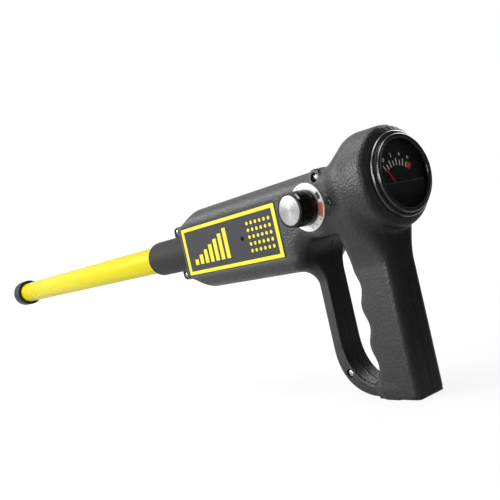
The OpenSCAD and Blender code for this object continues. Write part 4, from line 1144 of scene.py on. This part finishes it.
def ray_kinds(w):
    """Whether a ray comes straight from the camera, and whether it was mirrored."""
    return [w.node("ShaderNodeLightPath", out=kind) for kind in ("Is Camera Ray", "Is Glossy Ray")]


area_light("side_lamp", (-1.3, -1.15, 0.87), (-0.1, 0, 0.13), 0.9, 22)
area_light("front_lamp", (-0.5, -1.35, 0.55), (-0.05, 0, 0.12), 0.8, 5.5)
area_light("low_lamp", (0.04, -1.0, 0.18), (0, 0, 0.13), 0.34, 3.4)
area_light("top_lamp", (-0.5, -0.2, 1.5), (-0.15, 0, 0.13), 1.0, 13)
area_light("far_lamp", (-0.4, 1.4, 0.8), (-0.1, 0, 0.13), 0.9, 9)
area_light("back_fill", (1.2, 0.5, 0.6), (0, 0, 0.13), 0.6, 0.7)

BLACK, WHITE = grey(0), grey(1)
world = bpy.data.worlds.new("studio")
bpy.context.scene.world = world
world.use_nodes = True
world.node_tree.nodes.clear()
w = Wire(world.node_tree)
seen, mirrored = ray_kinds(w)
heading = w.node("ShaderNodeSeparateXYZ", {}, {0: w.node("ShaderNodeTexCoord", out="Generated")}, out="X")
dim = ramp(w, heading, -0.8, 0.2, 1.0, 0.05)
shade = tone(w, dim * (0.25 + mirrored * 0.55), BLACK, WHITE)
surroundings = w.node("ShaderNodeBackground", {}, {"Color": shade, "Strength": 1.0})
white = w.node("ShaderNodeBackground", {}, {"Color": (*WHITE, 1), "Strength": 1.0})
backdrop = w.node("ShaderNodeMixShader", {}, {0: seen, 1: surroundings, 2: white})
output = world.node_tree.nodes.new("ShaderNodeOutputWorld")
world.node_tree.links.new(backdrop.socket, output.inputs["Surface"])

FLOOR_HALF = 6.0
floor_points = np.array([(-1, -1, 0), (1, -1, 0), (1, 1, 0), (-1, 1, 0)]) * FLOOR_HALF
floor_mesh = bpy.data.meshes.new("floor")
floor_mesh.from_pydata(floor_points.tolist(), [], [(0, 1, 2, 3)])
floor_finish, floor_out = new_material("pale_floor")
w = Wire(floor_finish.node_tree)
seen, mirrored = ray_kinds(w)
across = w.node("ShaderNodeSeparateXYZ", {}, {0: place_on(w)}, out="X")
distance = w.node("ShaderNodeVectorMath", {"operation": "LENGTH"}, {0: place_on(w)}, out="Value")
far = ramp(w, distance, 0.5, 1.3, 0.0, 1.0)
left = ramp(w, across, -0.25, 0.15, 1.0, 0.0)
pale = w.node("ShaderNodeBsdfDiffuse", {}, {"Color": tone(w, noise(w, 300), grey(0.62), grey(0.66))})
sheen = w.node("ShaderNodeEmission", {}, {"Color": tone(w, left, BLACK, grey(0.9)), "Strength": 1.0})
white = w.node("ShaderNodeEmission", {}, {"Color": (*WHITE, 1), "Strength": 1.1})
lower = w.node("ShaderNodeMixShader", {}, {0: mirrored * 0.9, 1: pale, 2: sheen})
mixed = w.node("ShaderNodeMixShader", {}, {0: seen * (0.8 + 0.2 * far), 1: lower, 2: white})
floor_finish.node_tree.links.new(mixed.socket, floor_out.inputs["Surface"])
floor_mesh.materials.append(floor_finish)
floor = bpy.data.objects.new("floor", floor_mesh)
bpy.context.scene.collection.objects.link(floor)

# Camera

CAMERA_AT = Vector((0.3271, -0.3717, 0.1265))
CAMERA_AIM = Vector((-0.0679, -0.0652, 0.1263))
CAMERA_ROLL = math.radians(-12.77)
camera = bpy.data.objects.new("camera", bpy.data.cameras.new("camera"))
camera.data.sensor_width = 36.0
camera.data.lens = 49.1
camera.data.clip_start = 0.01
camera.data.clip_end = 50
level = (CAMERA_AIM - CAMERA_AT).to_track_quat("-Z", "Y").to_matrix()
camera.matrix_world = Matrix.Translation(CAMERA_AT) @ (level @ Matrix.Rotation(CAMERA_ROLL, 3, "Z")).to_4x4()
bpy.context.scene.collection.objects.link(camera)
bpy.context.scene.camera = camera
bpy.context.scene.view_settings.view_transform = "Standard"
